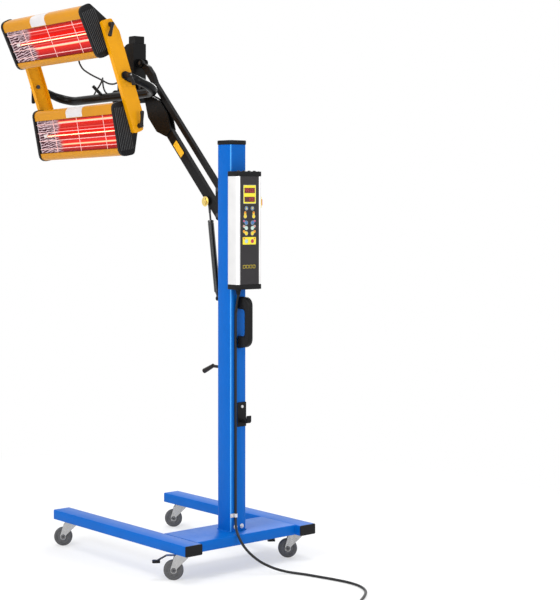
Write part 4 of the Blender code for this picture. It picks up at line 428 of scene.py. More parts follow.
def dress(made, *replaced):
    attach(made, bodyOf[replaced[0]])
    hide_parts(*replaced)
    return made


def within(point, axis, radius, low, high):  # tests that a face lies in a short round space on an axis
    point, axis = Vector(point), Vector(axis).normalized()

    def test(face):
        for vert in face.verts:
            away = vert.co - point
            along = away.dot(axis)
            if (away - axis * along).length > radius or not low <= along <= high:
                return False
        return True
    return test


# The frame's own shape with softened edges. Faces that pass a patch's test get its finish,
# and drawn moves the points
def refined(node, look, width, patches=(), segments=2, drawn=None):
    crease = 34
    shape = bmesh.new()
    shape.from_mesh(nodes[node].data)
    if drawn:
        for vert in shape.verts:
            vert.co = drawn(vert.co)
    bmesh.ops.remove_doubles(shape, verts=shape.verts, dist=0.00003)
    bmesh.ops.dissolve_limit(shape, angle_limit=math.radians(0.8), verts=shape.verts, edges=shape.edges)
    for number, (test, other) in enumerate(patches, 1):
        for face in shape.faces:
            if test(face):
                face.material_index = number
    made = pieceFrom(node + "Body", shape, look, crease=crease)
    for test, other in patches:
        made.data.materials.append(other.material)
    bevelled(made, width, segments, crease)
    return dress(made, node)


# Geometry node trees for what repeats or follows a path
def geometryTree(name, sockets):
    tree = bpy.data.node_groups.new(name, "GeometryNodeTree")
    tree.interface.new_socket("Geometry", in_out="OUTPUT", socket_type="NodeSocketGeometry")
    tree.interface.new_socket("Geometry", in_out="INPUT", socket_type="NodeSocketGeometry")
    for label, kind in sockets:
        tree.interface.new_socket(label, in_out="INPUT", socket_type="NodeSocket" + kind)
    graph = Graph(tree)
    entry = tree.nodes.new("NodeGroupInput")
    given = {socket.name: Wire(graph, socket) for socket in entry.outputs if socket.name}
    return graph, given


def closeTree(graph, given, shapes):
    solid = graph.node("GeometryNodeRealizeInstances", {}, [shapes])
    painted = graph.node("GeometryNodeSetMaterial", {}, {"Geometry": solid, "Material": given["Finish"]})
    out = graph.tree.nodes.new("NodeGroupOutput")
    graph.tree.links.new(painted.socket, out.inputs[0])
    return graph.tree


def makeRowTree():  # one shape, again and again along a step
    graph, given = geometryTree("row of shapes",
                                (("Count", "Int"), ("Step", "Vector"), ("Finish", "Material")))
    line = graph.node("GeometryNodeMeshLine", {"mode": "OFFSET"},
                      {"Count": given["Count"], "Offset": given["Step"]})
    copies = graph.node("GeometryNodeInstanceOnPoints", {}, {"Points": line, "Instance": given["Geometry"]})
    return closeTree(graph, given, copies)


def makeRingTree():  # one shape, again and again round the Z axis
    graph, given = geometryTree("ring of shapes", (("Count", "Int"), ("Finish", "Material")))
    line = graph.node("GeometryNodeMeshLine", {"mode": "OFFSET"},
                      {"Count": given["Count"], "Offset": (0, 0, 0)})
    index = graph.node("GeometryNodeInputIndex")
    turn = graph.node("ShaderNodeCombineXYZ", {}, [0.0, 0.0, index * (2 * math.pi) / given["Count"]])
    spin = graph.node("FunctionNodeEulerToRotation", {}, [turn])
    copies = graph.node("GeometryNodeInstanceOnPoints", {},
                        {"Points": line, "Instance": given["Geometry"], "Rotation": spin})
    return closeTree(graph, given, copies)


def makeTubeTree():  # a round section that follows every edge chain it is given
    graph, given = geometryTree("tube along path",
                                (("Radius", "Float"), ("Sides", "Int"), ("Finish", "Material")))
    path = graph.node("GeometryNodeMeshToCurve", {}, {"Mesh": given["Geometry"]})
    section = graph.node("GeometryNodeCurvePrimitiveCircle", {},
                         {"Resolution": given["Sides"], "Radius": given["Radius"]})
    tube = graph.node("GeometryNodeCurveToMesh", {},
                      {"Curve": path, "Profile Curve": section, "Fill Caps": True})
    return closeTree(graph, given, tube)


def makeScrewTree():  # a washer, a head and a tip at every point, facing as the point says
    graph, given = geometryTree("screw heads",
                                (("Radius", "Float"), ("Height", "Float"), ("Sides", "Int"),
                                 ("Finish", "Material")))
    both = graph.node("GeometryNodeJoinGeometry")
    for sides, top, bottom, depth in ((28, 1.28, 1.36, 0.24), (given["Sides"], 0.9, 1.0, 1.0),
                                      (20, 0.4, 0.48, 1.25)):
        part = graph.node("GeometryNodeMeshCone", {},
                          {"Vertices": sides, "Radius Top": given["Radius"] * top,
                           "Radius Bottom": given["Radius"] * bottom, "Depth": given["Height"] * depth})
        graph.tree.links.new(part.socket, both.socket.node.inputs[0])
    facing = graph.node("GeometryNodeInputNamedAttribute", {"data_type": "FLOAT_VECTOR"}, {"Name": "facing"})
    turn = graph.node("FunctionNodeAlignRotationToVector", {"axis": "Z"}, {"Vector": facing})
    copies = graph.node("GeometryNodeInstanceOnPoints", {},
                        {"Points": given["Geometry"], "Instance": both, "Rotation": turn})
    return closeTree(graph, given, copies)


rowTree, ringTree, tubeTree, screwTree = makeRowTree(), makeRingTree(), makeTubeTree(), makeScrewTree()


def grown(made, tree, values, look):
    modifier = made.modifiers.new(tree.name, "NODES")
    modifier.node_group = tree
    for item in tree.interface.items_tree:
        if item.in_out == "INPUT" and item.name in values:
            modifier[item.identifier] = values[item.name]
        elif item.in_out == "INPUT" and item.name == "Finish":
            modifier[item.identifier] = look.material
    applied(made)
    made.data.shade_smooth()
    made.data.set_sharp_from_angle(angle=math.radians(35))
    return made


def pathObject(name, chains):  # edge chains for the tube tree
    mesh = bpy.data.meshes.new(name)
    verts, links = [], []
    for chain in chains:
        links += [(len(verts) + step, len(verts) + step + 1) for step in range(len(chain) - 1)]
        verts += [tuple(point) for point in chain]
    mesh.from_pydata(verts, links, [])
    return placed(name, mesh)


def screwHeads(name, spots, radius, height, look, body, sides=6):  # spots are (point, facing) pairs
    mesh = bpy.data.meshes.new(name)
    mesh.from_pydata([tuple(point) for point, facing in spots], [], [])
    facings = mesh.attributes.new("facing", "FLOAT_VECTOR", "POINT")
    for entry, (point, facing) in zip(facings.data, spots):
        entry.vector = Vector(facing)
    made = placed(name, mesh)
    grown(made, screwTree, {"Radius": radius, "Height": height, "Sides": sides}, look)
    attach(made, body)


def dressedTube(name, chains, radius, look, node, sides=20):
    return dress(grown(pathObject(name, chains), tubeTree, {"Radius": radius, "Sides": sides}, look), node)


# Camera, floor and lights
view = {
    "azimuth": math.radians(51.57), "place": (4.4633, -3.8482, 1.4155), "sensor": 36.0, "focal": 1520.19,
    "axis": (169.67, 200), "picture": (560, 600), "far": 60}
camera = placed("camera", bpy.data.cameras.new("camera"))
camera.location = columnFoot + Vector(view["place"])
camera.rotation_euler = (math.pi / 2, 0, view["azimuth"])
camera.data.sensor_width = view["sensor"]
camera.data.lens = view["sensor"] * view["focal"] / view["picture"][1]
camera.data.shift_x = (view["picture"][0] / 2 - view["axis"][0]) / view["picture"][1]
camera.data.shift_y = (view["axis"][1] - view["picture"][1] / 2) / view["picture"][1]
camera.data.clip_end = view["far"]
bpy.context.scene.camera = camera

# Each lamp is its place, width, height and power
studio = {
    "key": ((0.6, -4.6, 4.4), 2.6, 2.6, 150.0), "fill": ((5.6, 0.4, 2.6), 3.0, 3.0, 85.0),
    "back": ((-2.6, 3.4, 3.4), 2.0, 2.0, 60.0), "strip": ((0.7, -4.4, 1.25), 0.3, 2.4, 12.0),
    "aim": (-0.25, 0, 1.0), "sun": 1.1, "sunWidth": math.radians(24), "world": 0.6, "floor": 14.0,
    "floorWhite": 0.5, "nearSquared": 1.2, "farSquared": 5.5, "floorDrop": 0.0005}
for label in ("key", "fill", "back", "strip"):
    spot, width, height, power = studio[label]
    light = bpy.data.lights.new(label + "Light", "AREA")
    light.shape, light.size, light.size_y, light.energy = "RECTANGLE", width, height, power
    lamp = placed(label + "Light", light)
    lamp.location = columnFoot + Vector(spot)
    lamp.rotation_euler = (Vector(studio["aim"]) - Vector(spot)).to_track_quat("-Z", "Y").to_euler()
overhead = bpy.data.lights.new("overheadLight", "SUN")
overhead.energy, overhead.angle = studio["sun"], studio["sunWidth"]
placed("overheadLight", overhead)


# 1 for the camera's own rays and for those that reach it by a mirror or through glass
def seenByCamera(graph):
    rays = graph.node("ShaderNodeLightPath", output="Is Camera Ray")
    return rays.maths("MAXIMUM",
                      rays.beside("Is Glossy Ray")).maths("MAXIMUM", rays.beside("Is Transmission Ray"))


world = bpy.data.worlds.new("studio")
bpy.context.scene.world = world
world.use_nodes = True
sky = Graph(world.node_tree)
background = sky.tree.nodes["Background"]
background.inputs["Color"].default_value = (1, 1, 1, 1)
skyPower = seenByCamera(sky) * (1.0 - studio["world"]) + studio["world"]
sky.tree.links.new(skyPower.socket, background.inputs["Strength"])

floorShape = bmesh.new()
bmesh.ops.create_grid(floorShape, x_segments=1, y_segments=1, size=studio["floor"])
floorLook = Look("floor", (0.86, 0.86, 0.86), 0.9)
white = floorLook.node("ShaderNodeEmission", {}, {"Color": (1, 1, 1, 1), "Strength": 1.0})
ground = floorLook.node("ShaderNodeSeparateXYZ", {}, [floorLook.place()])
away = ground.maths("POWER", 2.0) + ground.beside(1).maths("POWER", 2.0)
whiter = floorLook.smooth(away, studio["nearSquared"], studio["farSquared"], studio["floorWhite"], 1.0)
mixed = floorLook.node("ShaderNodeMixShader", {},
                       [seenByCamera(floorLook) * whiter, Wire(floorLook, floorLook.shader.outputs[0]),
                        white])
floorLook.tree.links.new(mixed.socket, floorLook.tree.nodes["Material Output"].inputs["Surface"])
floor = pieceFrom("floor", floorShape, floorLook, Matrix.Translation((0, 0, -studio["floorDrop"])))
bpy.context.scene.view_settings.view_transform = "Standard"
print("camera and studio set")

# Mains cord in one run from the clip to the plug, with its coil
cordSize = {
    "radius": 0.005, "lane": 0.0453, "side": -0.019, "exit": 0.20385, "clipLow": 0.197, "spacing": 0.012,
    "coilAt": (0.83, -0.2), "turns": 10, "inner": 0.036, "pitch": 0.011, "lift": 0.0107, "dip": 0.0045,
    "perTurn": 40, "air": 0.0003}
cordRoute = (
    (0.05, -0.023, 0.178), (0.064, -0.0335, 0.1635), (0.085, -0.0475, 0.1535), (0.105, -0.056, 0.139),
    (0.124, -0.056, 0.116), (0.14, -0.048, 0.094), (0.157, -0.032, 0.071), (0.177, -0.005, 0.046),
    (0.201, 0.035, 0.023), (0.229, 0.072, 0.0095), (0.263, 0.098, 0.0053), (0.3, 0.112, 0.0053),
    (0.36, 0.128, 0.0053), (0.425, 0.144, 0.0053), (0.49, 0.153, 0.0053), (0.55, 0.145, 0.0053),
    (0.605, 0.115, 0.0053), (0.65, 0.065, 0.0053), (0.69, 0.005, 0.0053), (0.735, -0.056, 0.0053),
    (0.785, -0.096, 0.0053))
cordRadius = cordSize["radius"]


def coilPoint(turn):  # spirals in, climbs in half a turn and spirals out above
    half = (cordSize["turns"] - 0.5) / 2
    climb = min(max(turn - half, 0.0) / 0.5, 1.0)
    wound = max(half - turn, turn - half - 0.5, 0.0)
    radius = cordSize["inner"] + cordSize["pitch"] * wound - cordSize["dip"] * math.sin(math.pi * climb)
    lift = cordSize["lift"] * (1 - math.cos(math.pi * climb)) / 2
    angle = math.pi / 2 - 2 * math.pi * turn
    x, y = cordSize["coilAt"]
    return Vector((x + radius * math.cos(angle), y + radius * math.sin(angle),
                   cordRadius + cordSize["air"] + lift))


coilSteps = cordSize["turns"] * cordSize["perTurn"] + 1
coilRun = [coilPoint(step / cordSize["perTurn"]) for step in range(coilSteps)]
coilEntry = coilRun[0] - Vector((2 * cordRadius, 0, 0))
coilHeading = (coilRun[-1] - coilRun[-2]).normalized()
coilRun.append(coilRun[-1] + coilHeading * 2 * cordRadius)
cordTop = Vector((cordSize["lane"], cordSize["side"], cordSize["exit"]))
cordLead = smoothPath([(cordTop.x, cordTop.y, cordSize["clipLow"] - cordRadius), *cordRoute,
                       coilEntry - Vector((3 * cordRadius, 0, 0)), coilEntry], cordSize["spacing"])
cordPoints = [point + columnFoot for point in (cordTop, *cordLead, *coilRun)]
cordCurve = bpy.data.curves.new("mainsCordRun", "CURVE")
cordCurve.dimensions = "3D"
cordCurve.bevel_depth = cordRadius
cordCurve.bevel_resolution = 4
cordCurve.use_fill_caps = True
cordLine = cordCurve.splines.new("POLY")
cordLine.points.add(len(cordPoints) - 1)
for spot, point in zip(cordLine.points, cordPoints):
    spot.co = (*point, 1.0)
cordCurve.materials.append(cableRubber.material)
cord = dress(placed("mainsCordRun", cordCurve), "mains_cord", "mains_coil")
cordLength = sum((a - b).length for a, b in zip(cordPoints, cordPoints[1:]))

plugSize = {
    "neck": 0.034, "neckRadius": 0.0075, "steps": 5, "body": 0.042, "radius": 0.022, "pin": 0.019,
    "pinRadius": 0.0024, "spread": 0.0095}
plugStart = Matrix.Translation(columnFoot + coilRun[-1] + coilHeading * cordSize["air"])
plugPlace = plugStart @ coilHeading.to_track_quat("Z", "Y").to_matrix().to_4x4()
plugNeck, plugRadius, pinRadius = plugSize["neck"], plugSize["radius"], plugSize["pinRadius"]
plugEnd = plugNeck + plugSize["body"]
plugProfile = [(0, 0), (plugSize["neckRadius"] * 0.8, 0)]
for ring in range(plugSize["steps"]):  # the flexible neck is stepped
    start = 0.002 + ring * plugNeck / plugSize["steps"]
    low, high = (plugSize["neckRadius"] * share for share in (0.8 + ring * 0.05, 0.98 + ring * 0.01))
    plugProfile += [(low, start), (high, start + 0.0008), (high, start + 0.0042), (low, start + 0.005)]
for share, rise in ((0.5, 0.002), (0.8, 0.009), (0.94, 0.017), (1.0, 0.025)):
    plugProfile.append((plugRadius * share, plugNeck + rise))
plugProfile += [(plugRadius, plugEnd - 0.0015), (plugRadius - 0.0015, plugEnd), (0, plugEnd)]
plug = dress(pieceFrom("mainsPlugBody", lathe(plugProfile, 56), blackPlastic, plugPlace), "mains_plug")
plugPins = bmesh.new()
pinEnd = plugEnd + plugSize["pin"]
for side in (-1, 1):
    lathe([(0, plugEnd - 0.004), (pinRadius, plugEnd - 0.004), (pinRadius, pinEnd - 0.002),
           *roundEnd(pinRadius, pinEnd - pinRadius, 5)], 20, plugPins,
          Matrix.Translation((0, side * plugSize["spread"], 0)))
pins = pieceFrom("mainsPlugPins", plugPins, pinSteel, plugPlace)
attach(pins, "stand")
print(f"cord laid, {cordLength:.2f} m")

riserRoute = (
    (0.0453, -0.019, 0.218), (0.0453, -0.019, 0.919), (0.048, -0.019, 0.985), (0.0556, -0.019, 1.03),
    (0.0609, -0.019, 1.0467), (0.0609, -0.019, 1.0514))
riser = [Vector((0.0453, -0.019, 0.20415)), *smoothPath(riserRoute, cordSize["spacing"])]
dressedTube("riserCableRun", [[point + columnFoot for point in riser]], cordRadius, cableRubber,
            "riser_cable")
print("cables laid")

# Base frame and column
standSize = {
    "face": 0.0395, "boltSeat": 0.0415, "bolt": (0.016, 0.158), "boltPatch": 0.0075, "reach": 0.038,
    "out": 0.0405, "weld": 0.1405, "beamSide": 0.2489, "beamWeld": (0.103, 0.137),
    "beamEnds": (("Front", -0.1092), ("Rear", 0.0923)), "weldRadius": 0.0028, "weldStep": 0.004}


def footBolts(x):
    side, height = standSize["bolt"]
    return [columnFoot + Vector((x, way * side, height)) for way in (-1, 1)]


def longCorner(face):  # the round corners that run up the column
    heights = [vert.co.z for vert in face.verts]
    return min(abs(face.normal.x), abs(face.normal.y)) > 0.5 and max(heights) - min(heights) > 0.3


def weldLine(name, start, end):  # a rippled bead along a joint
    start, end = columnFoot + Vector(start), columnFoot + Vector(end)
    count = max(4, int((end - start).length / standSize["weldStep"]))
    points = [start + (end - start) * step / (2 * count) for step in range(2 * count + 1)]
    radii = [standSize["weldRadius"] * (0.8 if step % 2 else 1.0) for step in range(len(points))]
    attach(pieceFrom(name, pipe(points, radii, 10), bluePowder), "stand")


for node in ("near_leg", "far_leg", "cross_beam"):
    refined(node, bluePowder, 0.0012, segments=3)
boltPatches = [(within(spot, (1, 0, 0), standSize["boltPatch"], 0, 0.006), zincPlate)
               for spot in footBolts(standSize["face"])]
# the long corners take the lighter blue, a painted highlight
refined("column", bluePowder, 0.0006, [*boltPatches, (longCorner, bluePaintedCornerHighlight)])
for node in ("near_leg_cap", "far_leg_cap", "column_cap"):
    refined(node, blackPlastic, 0.0012, segments=3)
reach, out, height = (standSize[key] for key in ("reach", "out", "weld"))
weldLine("columnWeldNear", (-reach, -out, height), (reach, -out, height))
weldLine("columnWeldFar", (-reach, out, height), (reach, out, height))
weldLine("columnWeldFront", (-out, -reach, height), (-out, reach, height))
for label, beamSide in (("near", -standSize["beamSide"]), ("far", standSize["beamSide"])):
    for end, x in standSize["beamEnds"]:
        weldLine(f"{label}BeamWeld{end}", *((x, beamSide, height) for height in standSize["beamWeld"]))
screwHeads("columnFootBolts", [(spot, (1, 0, 0)) for spot in footBolts(standSize["boltSeat"])], 0.0068, 0.004,
           zincPlate, "stand")
print("stand dressed")

# Casters
casterSize = {
    "tyre": 0.0375, "half": 0.0115, "shoulder": 0.0055, "rim": 0.0262, "dish": 0.0035, "hub": 0.0115,
    "bore": 0.0044, "spokes": 6, "race": 0.015}
casterTurn = Matrix.Rotation(math.radians(51.57), 4, "Z")  # all four trail to the left of the view


def dressCaster(corner):
    tyre, half, shoulder, rim, dish, hub, bore, spokes, race = casterSize.values()
    fork, wheel = corner + "_fork", corner + "_wheel"
    axle = jointAt[corner + "_roll"]
    onAxle = Matrix.Translation(axle) @ casterTurn @ Matrix.Rotation(math.pi / 2, 4, "X")
    crown = filleted(((rim, -half, 0.0008), (tyre, -half, shoulder), (tyre, half, shoulder),
                      (rim, half, 0.0008), (rim - 0.001, half - 0.002, 0), (rim - 0.001, -half + 0.002, 0)),
                     5)
    dress(pieceFrom(corner + "Tyre", lathe(crown, 72), tyreGrey, onAxle, 50), wheel)
    face = [
        (rim, half - 0.0012), (rim - 0.0022, half - 0.0008), (rim - 0.0034, half - dish),
        (hub + 0.002, half - dish), (hub, half - 0.0005), (bore, half - 0.0002)]
    core = [*face, *((radius, -height) for radius, height in reversed(face))]
    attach(pieceFrom(corner + "WheelCore", lathe(core, 64), greyPlastic, onAxle, 30), wheel)
    spoke = slab(oblong(hub - 0.001, rim - 0.003, -0.0012, 0.0012, 0.0008, 3), 0.0016 - half, half - 0.0016,
                 "Z")
    ribs = grown(pieceFrom(corner + "WheelRibs", spoke, greyPlastic), ringTree, {"Count": spokes},
                 greyPlastic)
    ribs.data.transform(onAxle)
    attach(ribs, wheel)
    refined(fork, forkZinc, 0.0007)
    ring = lathe([(race, -0.0068), (race + 0.003, -0.006), (race + 0.004, -0.0038), (race - 0.004, -0.0036),
                  (race - 0.004, -0.0068)], 40)
    racePlace = Matrix.Translation(jointAt[corner + "_swivel"]) @ casterTurn
    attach(pieceFrom(corner + "BallRace", ring, zincPlate, racePlace), fork)
    along = casterTurn @ Vector((0, 1, 0))
    screwHeads(corner + "AxleNuts",
               [(axle + along * side * (half + 0.0029), along * side) for side in (-1, 1)], 0.0072, 0.0042,
               darkSteel, fork)


for corner in ("near_front", "near_rear", "far_front", "far_rear"):
    dressCaster(corner)
print("casters dressed")

# Brake pedals: a zinc tongue with a moulded black tip
pedalWay = casterTurn @ Vector((-1, 0, 0))
for side in ("near", "far"):
    tipStart = jointAt[side + "_rear_swivel"] + pedalWay * 0.0795

    def onTongue(face):
        return max((vert.co - tipStart).dot(pedalWay) for vert in face.verts) < 0.0045
    refined(side + "_rear_brake_pedal", blackPlastic, 0.0006, [(onTongue, zincPlate)])
print("pedals dressed")

# Timer box. The panel's prints are laid out on a grid of units, about 0.9 mm across each
boxSize = {
    "front": 0.1049, "half": 0.062, "bottom": 1.074, "top": 1.525, "gridLeft": 391.5, "gridRight": 531.1,
    "gridTop": 17.5, "gridBottom": 535.0, "panelHalf": 0.0473, "panelInset": 0.0192, "panelDepth": 0.0017,
    "bumps": 4, "bumpStep": 0.027, "bumpFirst": (0.086, -0.0405), "screwX": (0.0545, 0.0965), "screwY": 0.053}
refined("box_housing", boxAluminium, 0.0005)
for node in ("box_top_cap", "box_bottom_cap"):
    refined(node, blackPlastic, 0.0006)
bumpProfile = [(0, 0), (0.0062, 0), (0.006, 0.0016), (0.0048, 0.0029), (0.0026, 0.0036), (0, 0.0038)]
bumps = grown(pieceFrom("boxTopBumps", lathe(bumpProfile, 24), blackPlastic), rowTree,
              {"Count": boxSize["bumps"], "Step": Vector((0, boxSize["bumpStep"], 0))}, blackPlastic)
bumps.data.transform(Matrix.Translation(columnFoot
                                        + Vector((*boxSize["bumpFirst"], boxSize["top"] - 0.0002))))
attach(bumps, "stand")
capFaces = ((boxSize["top"] - 0.0001, 1), (boxSize["bottom"] + 0.0001, -1))
capScrews = [(columnFoot + Vector((x, side * boxSize["screwY"], z)), (0, 0, way)) for x in boxSize["screwX"]
             for side in (-1, 1) for z, way in capFaces]
screwHeads("boxCapScrews", capScrews, 0.0024, 0.0012, darkSteel, "stand", 16)


def across(unit):
    share = (unit - boxSize["gridLeft"]) / (boxSize["gridRight"] - boxSize["gridLeft"])
    return (share - 0.5) * 2 * boxSize["half"]


def down(unit):
    share = (unit - boxSize["gridTop"]) / (boxSize["gridBottom"] - boxSize["gridTop"])
    return boxSize["top"] - share * (boxSize["top"] - boxSize["bottom"])


# Flat shapes on the panel, from outlines in grid units
def printed(name, outlines, low, high, look):
    shape = bmesh.new()
    for outline in outlines:
        slab([(across(a), down(b)) for a, b in outline], boxSize["front"] + low, boxSize["front"] + high, "X",
             shape)
    made = pieceFrom(name, shape, look, fromColumn, 30)
    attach(made, "stand")
    return made


def capsuleOutline(a, b, radius, other):  # the outline round two circles
    start, end, steps = Vector(a), Vector(b), 8
    heading = math.atan2(end.y - start.y, end.x - start.x)
    points = []
    for middle, size, first in ((end, other, -math.pi / 2), (start, radius, math.pi / 2)):
        for step in range(steps + 1):
            angle = heading + first + math.pi * step / steps
            points.append((middle.x + size * math.cos(angle), middle.y + size * math.sin(angle)))
    return points


def discs(spots, radius, sides=32):
    return [circle(x, y, radius, sides) for x, y in spots]


panelHalf, panelInset = boxSize["panelHalf"], boxSize["panelInset"]
panelOutline = oblong(-panelHalf, panelHalf, boxSize["bottom"] + panelInset, boxSize["top"] - panelInset,
                      0.0006, 3)
panelShape = slab(panelOutline, boxSize["front"] - boxSize["panelDepth"], boxSize["front"])
dress(pieceFrom("controlPanelFoil", panelShape, panelFoil, fromColumn, 30, 0.0002), "control_panel")
keySize = {
    "radius": 9.2, "light": 3.6, "window": (431.0, 490.0), "rows": ((89.9, 112.9), (129.1, 151.8)),
    "bezel": (425.3, 77.2, 496.7, 159.4), "rim": 1.6, "start": (421.5, 496.7, 305.6, 338.1),
    "digit": (7.4, 14.0), "tens": ((94.4, "99", (435.5, 447.5)), (94.4, "00", (464.5, 476.5)),
                                   (133.4, "100", (451.5, 464.5, 476.5))),
    "colon": ((459.6, 98.6), (459.6, 104.4)), "squares": (430.5, 449.0, 467.4, 485.9), "squareY": 435}
left, top, right, bottom = keySize["bezel"]
rim = keySize["rim"]
printed("bezelRim", [oblong(left, right, top, bottom, 2.0)], 0, 0.0004, bezelGrey)
printed("bezelFace", [oblong(left + rim, right - rim, top + rim, bottom - rim, 1.4)], 0.0002, 0.0007,
        bezelYellow)
panes = printed("displayPanes", [oblong(*keySize["window"], *row, 0.6) for row in keySize["rows"]], 0.0004,
                0.001, displayDark)
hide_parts("display_window")
digitBars = {"0": "abcdef", "1": "bc", "9": "abcdfg"}
barEnds = {
    "a": (0, 0, 1, 0), "g": (0, 0.5, 1, 0.5), "d": (0, 1, 1, 1), "f": (0, 0, 0, 0.5), "b": (1, 0, 1, 0.5),
    "e": (0, 0.5, 0, 1), "c": (1, 0.5, 1, 1)}


def digit(symbol, x, y, width, height):  # the lit bars of one figure
    bar, lean = width * 0.2, 0.1
    made = []
    for name in digitBars[symbol]:
        a, b, c, d = barEnds[name]
        (ax, ay), (bx, by) = [(x + u * width + (1 - v) * lean * width, y + v * height) for u,
                              v in ((a, b), (c, d))]
        if a != c:
            made.append([(ax + bar * 0.7, ay - bar / 2), (bx - bar * 0.7, by - bar / 2), (bx - bar * 0.2, by),
                         (bx - bar * 0.7, by + bar / 2), (ax + bar * 0.7, ay + bar / 2),
                         (ax + bar * 0.2, ay)])
        else:
            made.append([(ax - bar / 2, ay + bar * 0.7), (ax, ay + bar * 0.2), (ax + bar / 2, ay + bar * 0.7),
                         (bx + bar / 2, by - bar * 0.7), (bx, by - bar * 0.2),
                         (bx - bar / 2, by - bar * 0.7)])
    return made


figures = [shape for y, symbols, places in keySize["tens"] for symbol,
           x in zip(symbols, places) for shape in digit(symbol, x, y, *keySize["digit"])]
printed("displayFigures", figures + discs(keySize["colon"], 1.1, 12), 0.0008, 0.0012, digitRed)
keyRows = (
    ("Blue", keyBlue, ((442.5, 179.6), (476.9, 180.1), (442.1, 242.9), (476.6, 243.1)),
     ((428.7, 235.2, 442.1, 242.9), (490.1, 235.2, 476.6, 243.1))),
    ("Mint", keyMint, ((442.1, 265.8), (476.3, 266.3)),
     ((428.2, 257.8, 442.1, 265.8), (490.1, 258.4, 476.3, 266.3))),
    ("Yellow", keyYellow, ((435.5, 214.4), (484.0, 214.8), (442.1, 289.0), (476.3, 289.3)),
     ((435.5, 198.2, 435.5, 214.4), (484.0, 198.5, 484.0, 214.8), (428.2, 280.5, 442.1, 289.0),
      (490.1, 281.0, 476.3, 289.3))))
keyRadius, keyLight = keySize["radius"], keySize["light"]
for label, look, keys, tails in keyRows:
    printed("keyFoil" + label, [capsuleOutline((a, b), (c, d), keyLight + 2.0, keyLight + 2.4) for a, b, c,
                                d in tails], 0, 0.0003, look)
    printed("keyRing" + label, discs(keys, keyRadius), 0, 0.0006, bezelGrey)
    printed("keyFace" + label, discs(keys, keyRadius * 0.86), 0.0004, 0.001, look)
printed("startField", [oblong(*keySize["start"], 3.0)], 0, 0.0006, bezelYellow)
for label, look, middle in (("Start", keyPale, (442.1, 323.2)), ("Stop", keyRed, (475.9, 323.5))):
    printed("key" + label + "Ring", discs([middle], keyRadius), 0.0004, 0.001, bezelGrey)
    printed("key" + label + "Face", discs([middle], keyRadius * 0.88), 0.0008, 0.0014, look)
lights = (
    (435.5, 198.2), (484.0, 198.5), (428.7, 235.2), (490.1, 235.2), (428.2, 257.8), (490.1, 258.4),
    (428.2, 280.5), (490.1, 281.0), (429.1, 311.7), (488.7, 312.2))
printed("indicatorLights", discs(lights, keyLight, 20), 0.0002, 0.0009, indicatorRed)
arrows = [[(442.5, 174.6), (447.6, 183.6), (437.4, 183.6)], [(476.9, 185.2), (471.8, 176.2), (482.0, 176.2)]]
printed("keyArrows", arrows, 0.0008, 0.0012, keyYellow)
frames = []
for x in keySize["squares"]:  # plain outlined squares
    for a, b, c, d in ((-7, 7, -7, -5.8), (-7, 7, 5.8, 7), (-7, -5.8, -6.4, 6.4), (5.8, 7, -6.4, 6.4)):
        frames.append(oblong(x + a, x + b, keySize["squareY"] + c, keySize["squareY"] + d))
printed("plainSquares", frames, 0, 0.0002, keyYellow)
print("timer box dressed")

# Main switch
refined("switch_plate", switchYellow, 0.0008, segments=3)
knobSize = {"radius": 0.013, "skirt": 0.006, "length": 0.02, "grip": 0.008, "ribs": 24}
knobPlace = Matrix.Translation(jointAt["main_switch_turn"]) @ Matrix.Rotation(-math.pi / 2, 4, "X")
knobRadius, skirt, gripHalf = knobSize["radius"], knobSize["skirt"], knobSize["grip"] / 2
knob = lathe([(0, 0), (knobRadius, 0), (knobRadius, skirt - 0.001), (knobRadius - 0.001, skirt), (0, skirt)],
             56)
lathe([(0, -0.011), (0.004, -0.011), (0.004, 0.002), (0, 0.002)], 24, knob)
slab(oblong(-gripHalf, gripHalf, -knobRadius * 0.95, knobRadius * 0.95, 0.003), skirt - 0.002,
     knobSize["length"], "Z", knob)
dress(pieceFrom("switchKnobBody", knob, switchRed, knobPlace, 40, 0.0006, 3), "switch_knob")
rib = slab(oblong(knobRadius - 0.0006, knobRadius + 0.0005, -0.0007, 0.0007, 0.0004, 2), 0.0006,
           skirt - 0.001, "Z")
ribs = grown(pieceFrom("switchKnobRibs", rib, switchRed), ringTree, {"Count": knobSize["ribs"]}, switchRed)
ribs.data.transform(knobPlace)
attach(ribs, "switch_knob")

# Handle, hanger, clip and gland
fittingSize = {
    "hangerScrew": (0.0403, 0.015, 0.619), "handleScrew": (0.0925, 0.004), "handleHeights": (0.88, 1.008)}
refined("push_handle", blackPlastic, 0.0005)
hangerScrew = within(columnFoot + Vector(fittingSize["hangerScrew"]), (1, 0, 0), 0.0065, 0.002, 0.05)
refined("cable_hanger", blackPlastic, 0.0006, [(hangerScrew, zincPlate)])
refined("cable_clip", zincPlate, 0.0004)
refined("cable_gland", blackPlastic, 0.0005)
handleScrews = [(columnFoot + Vector((*fittingSize["handleScrew"], z)), (1, 0, 0))
                for z in fittingSize["handleHeights"]]
screwHeads("handleScrews", handleScrews, 0.004, 0.0016, darkSteel, "stand", 20)
print("column fittings dressed")

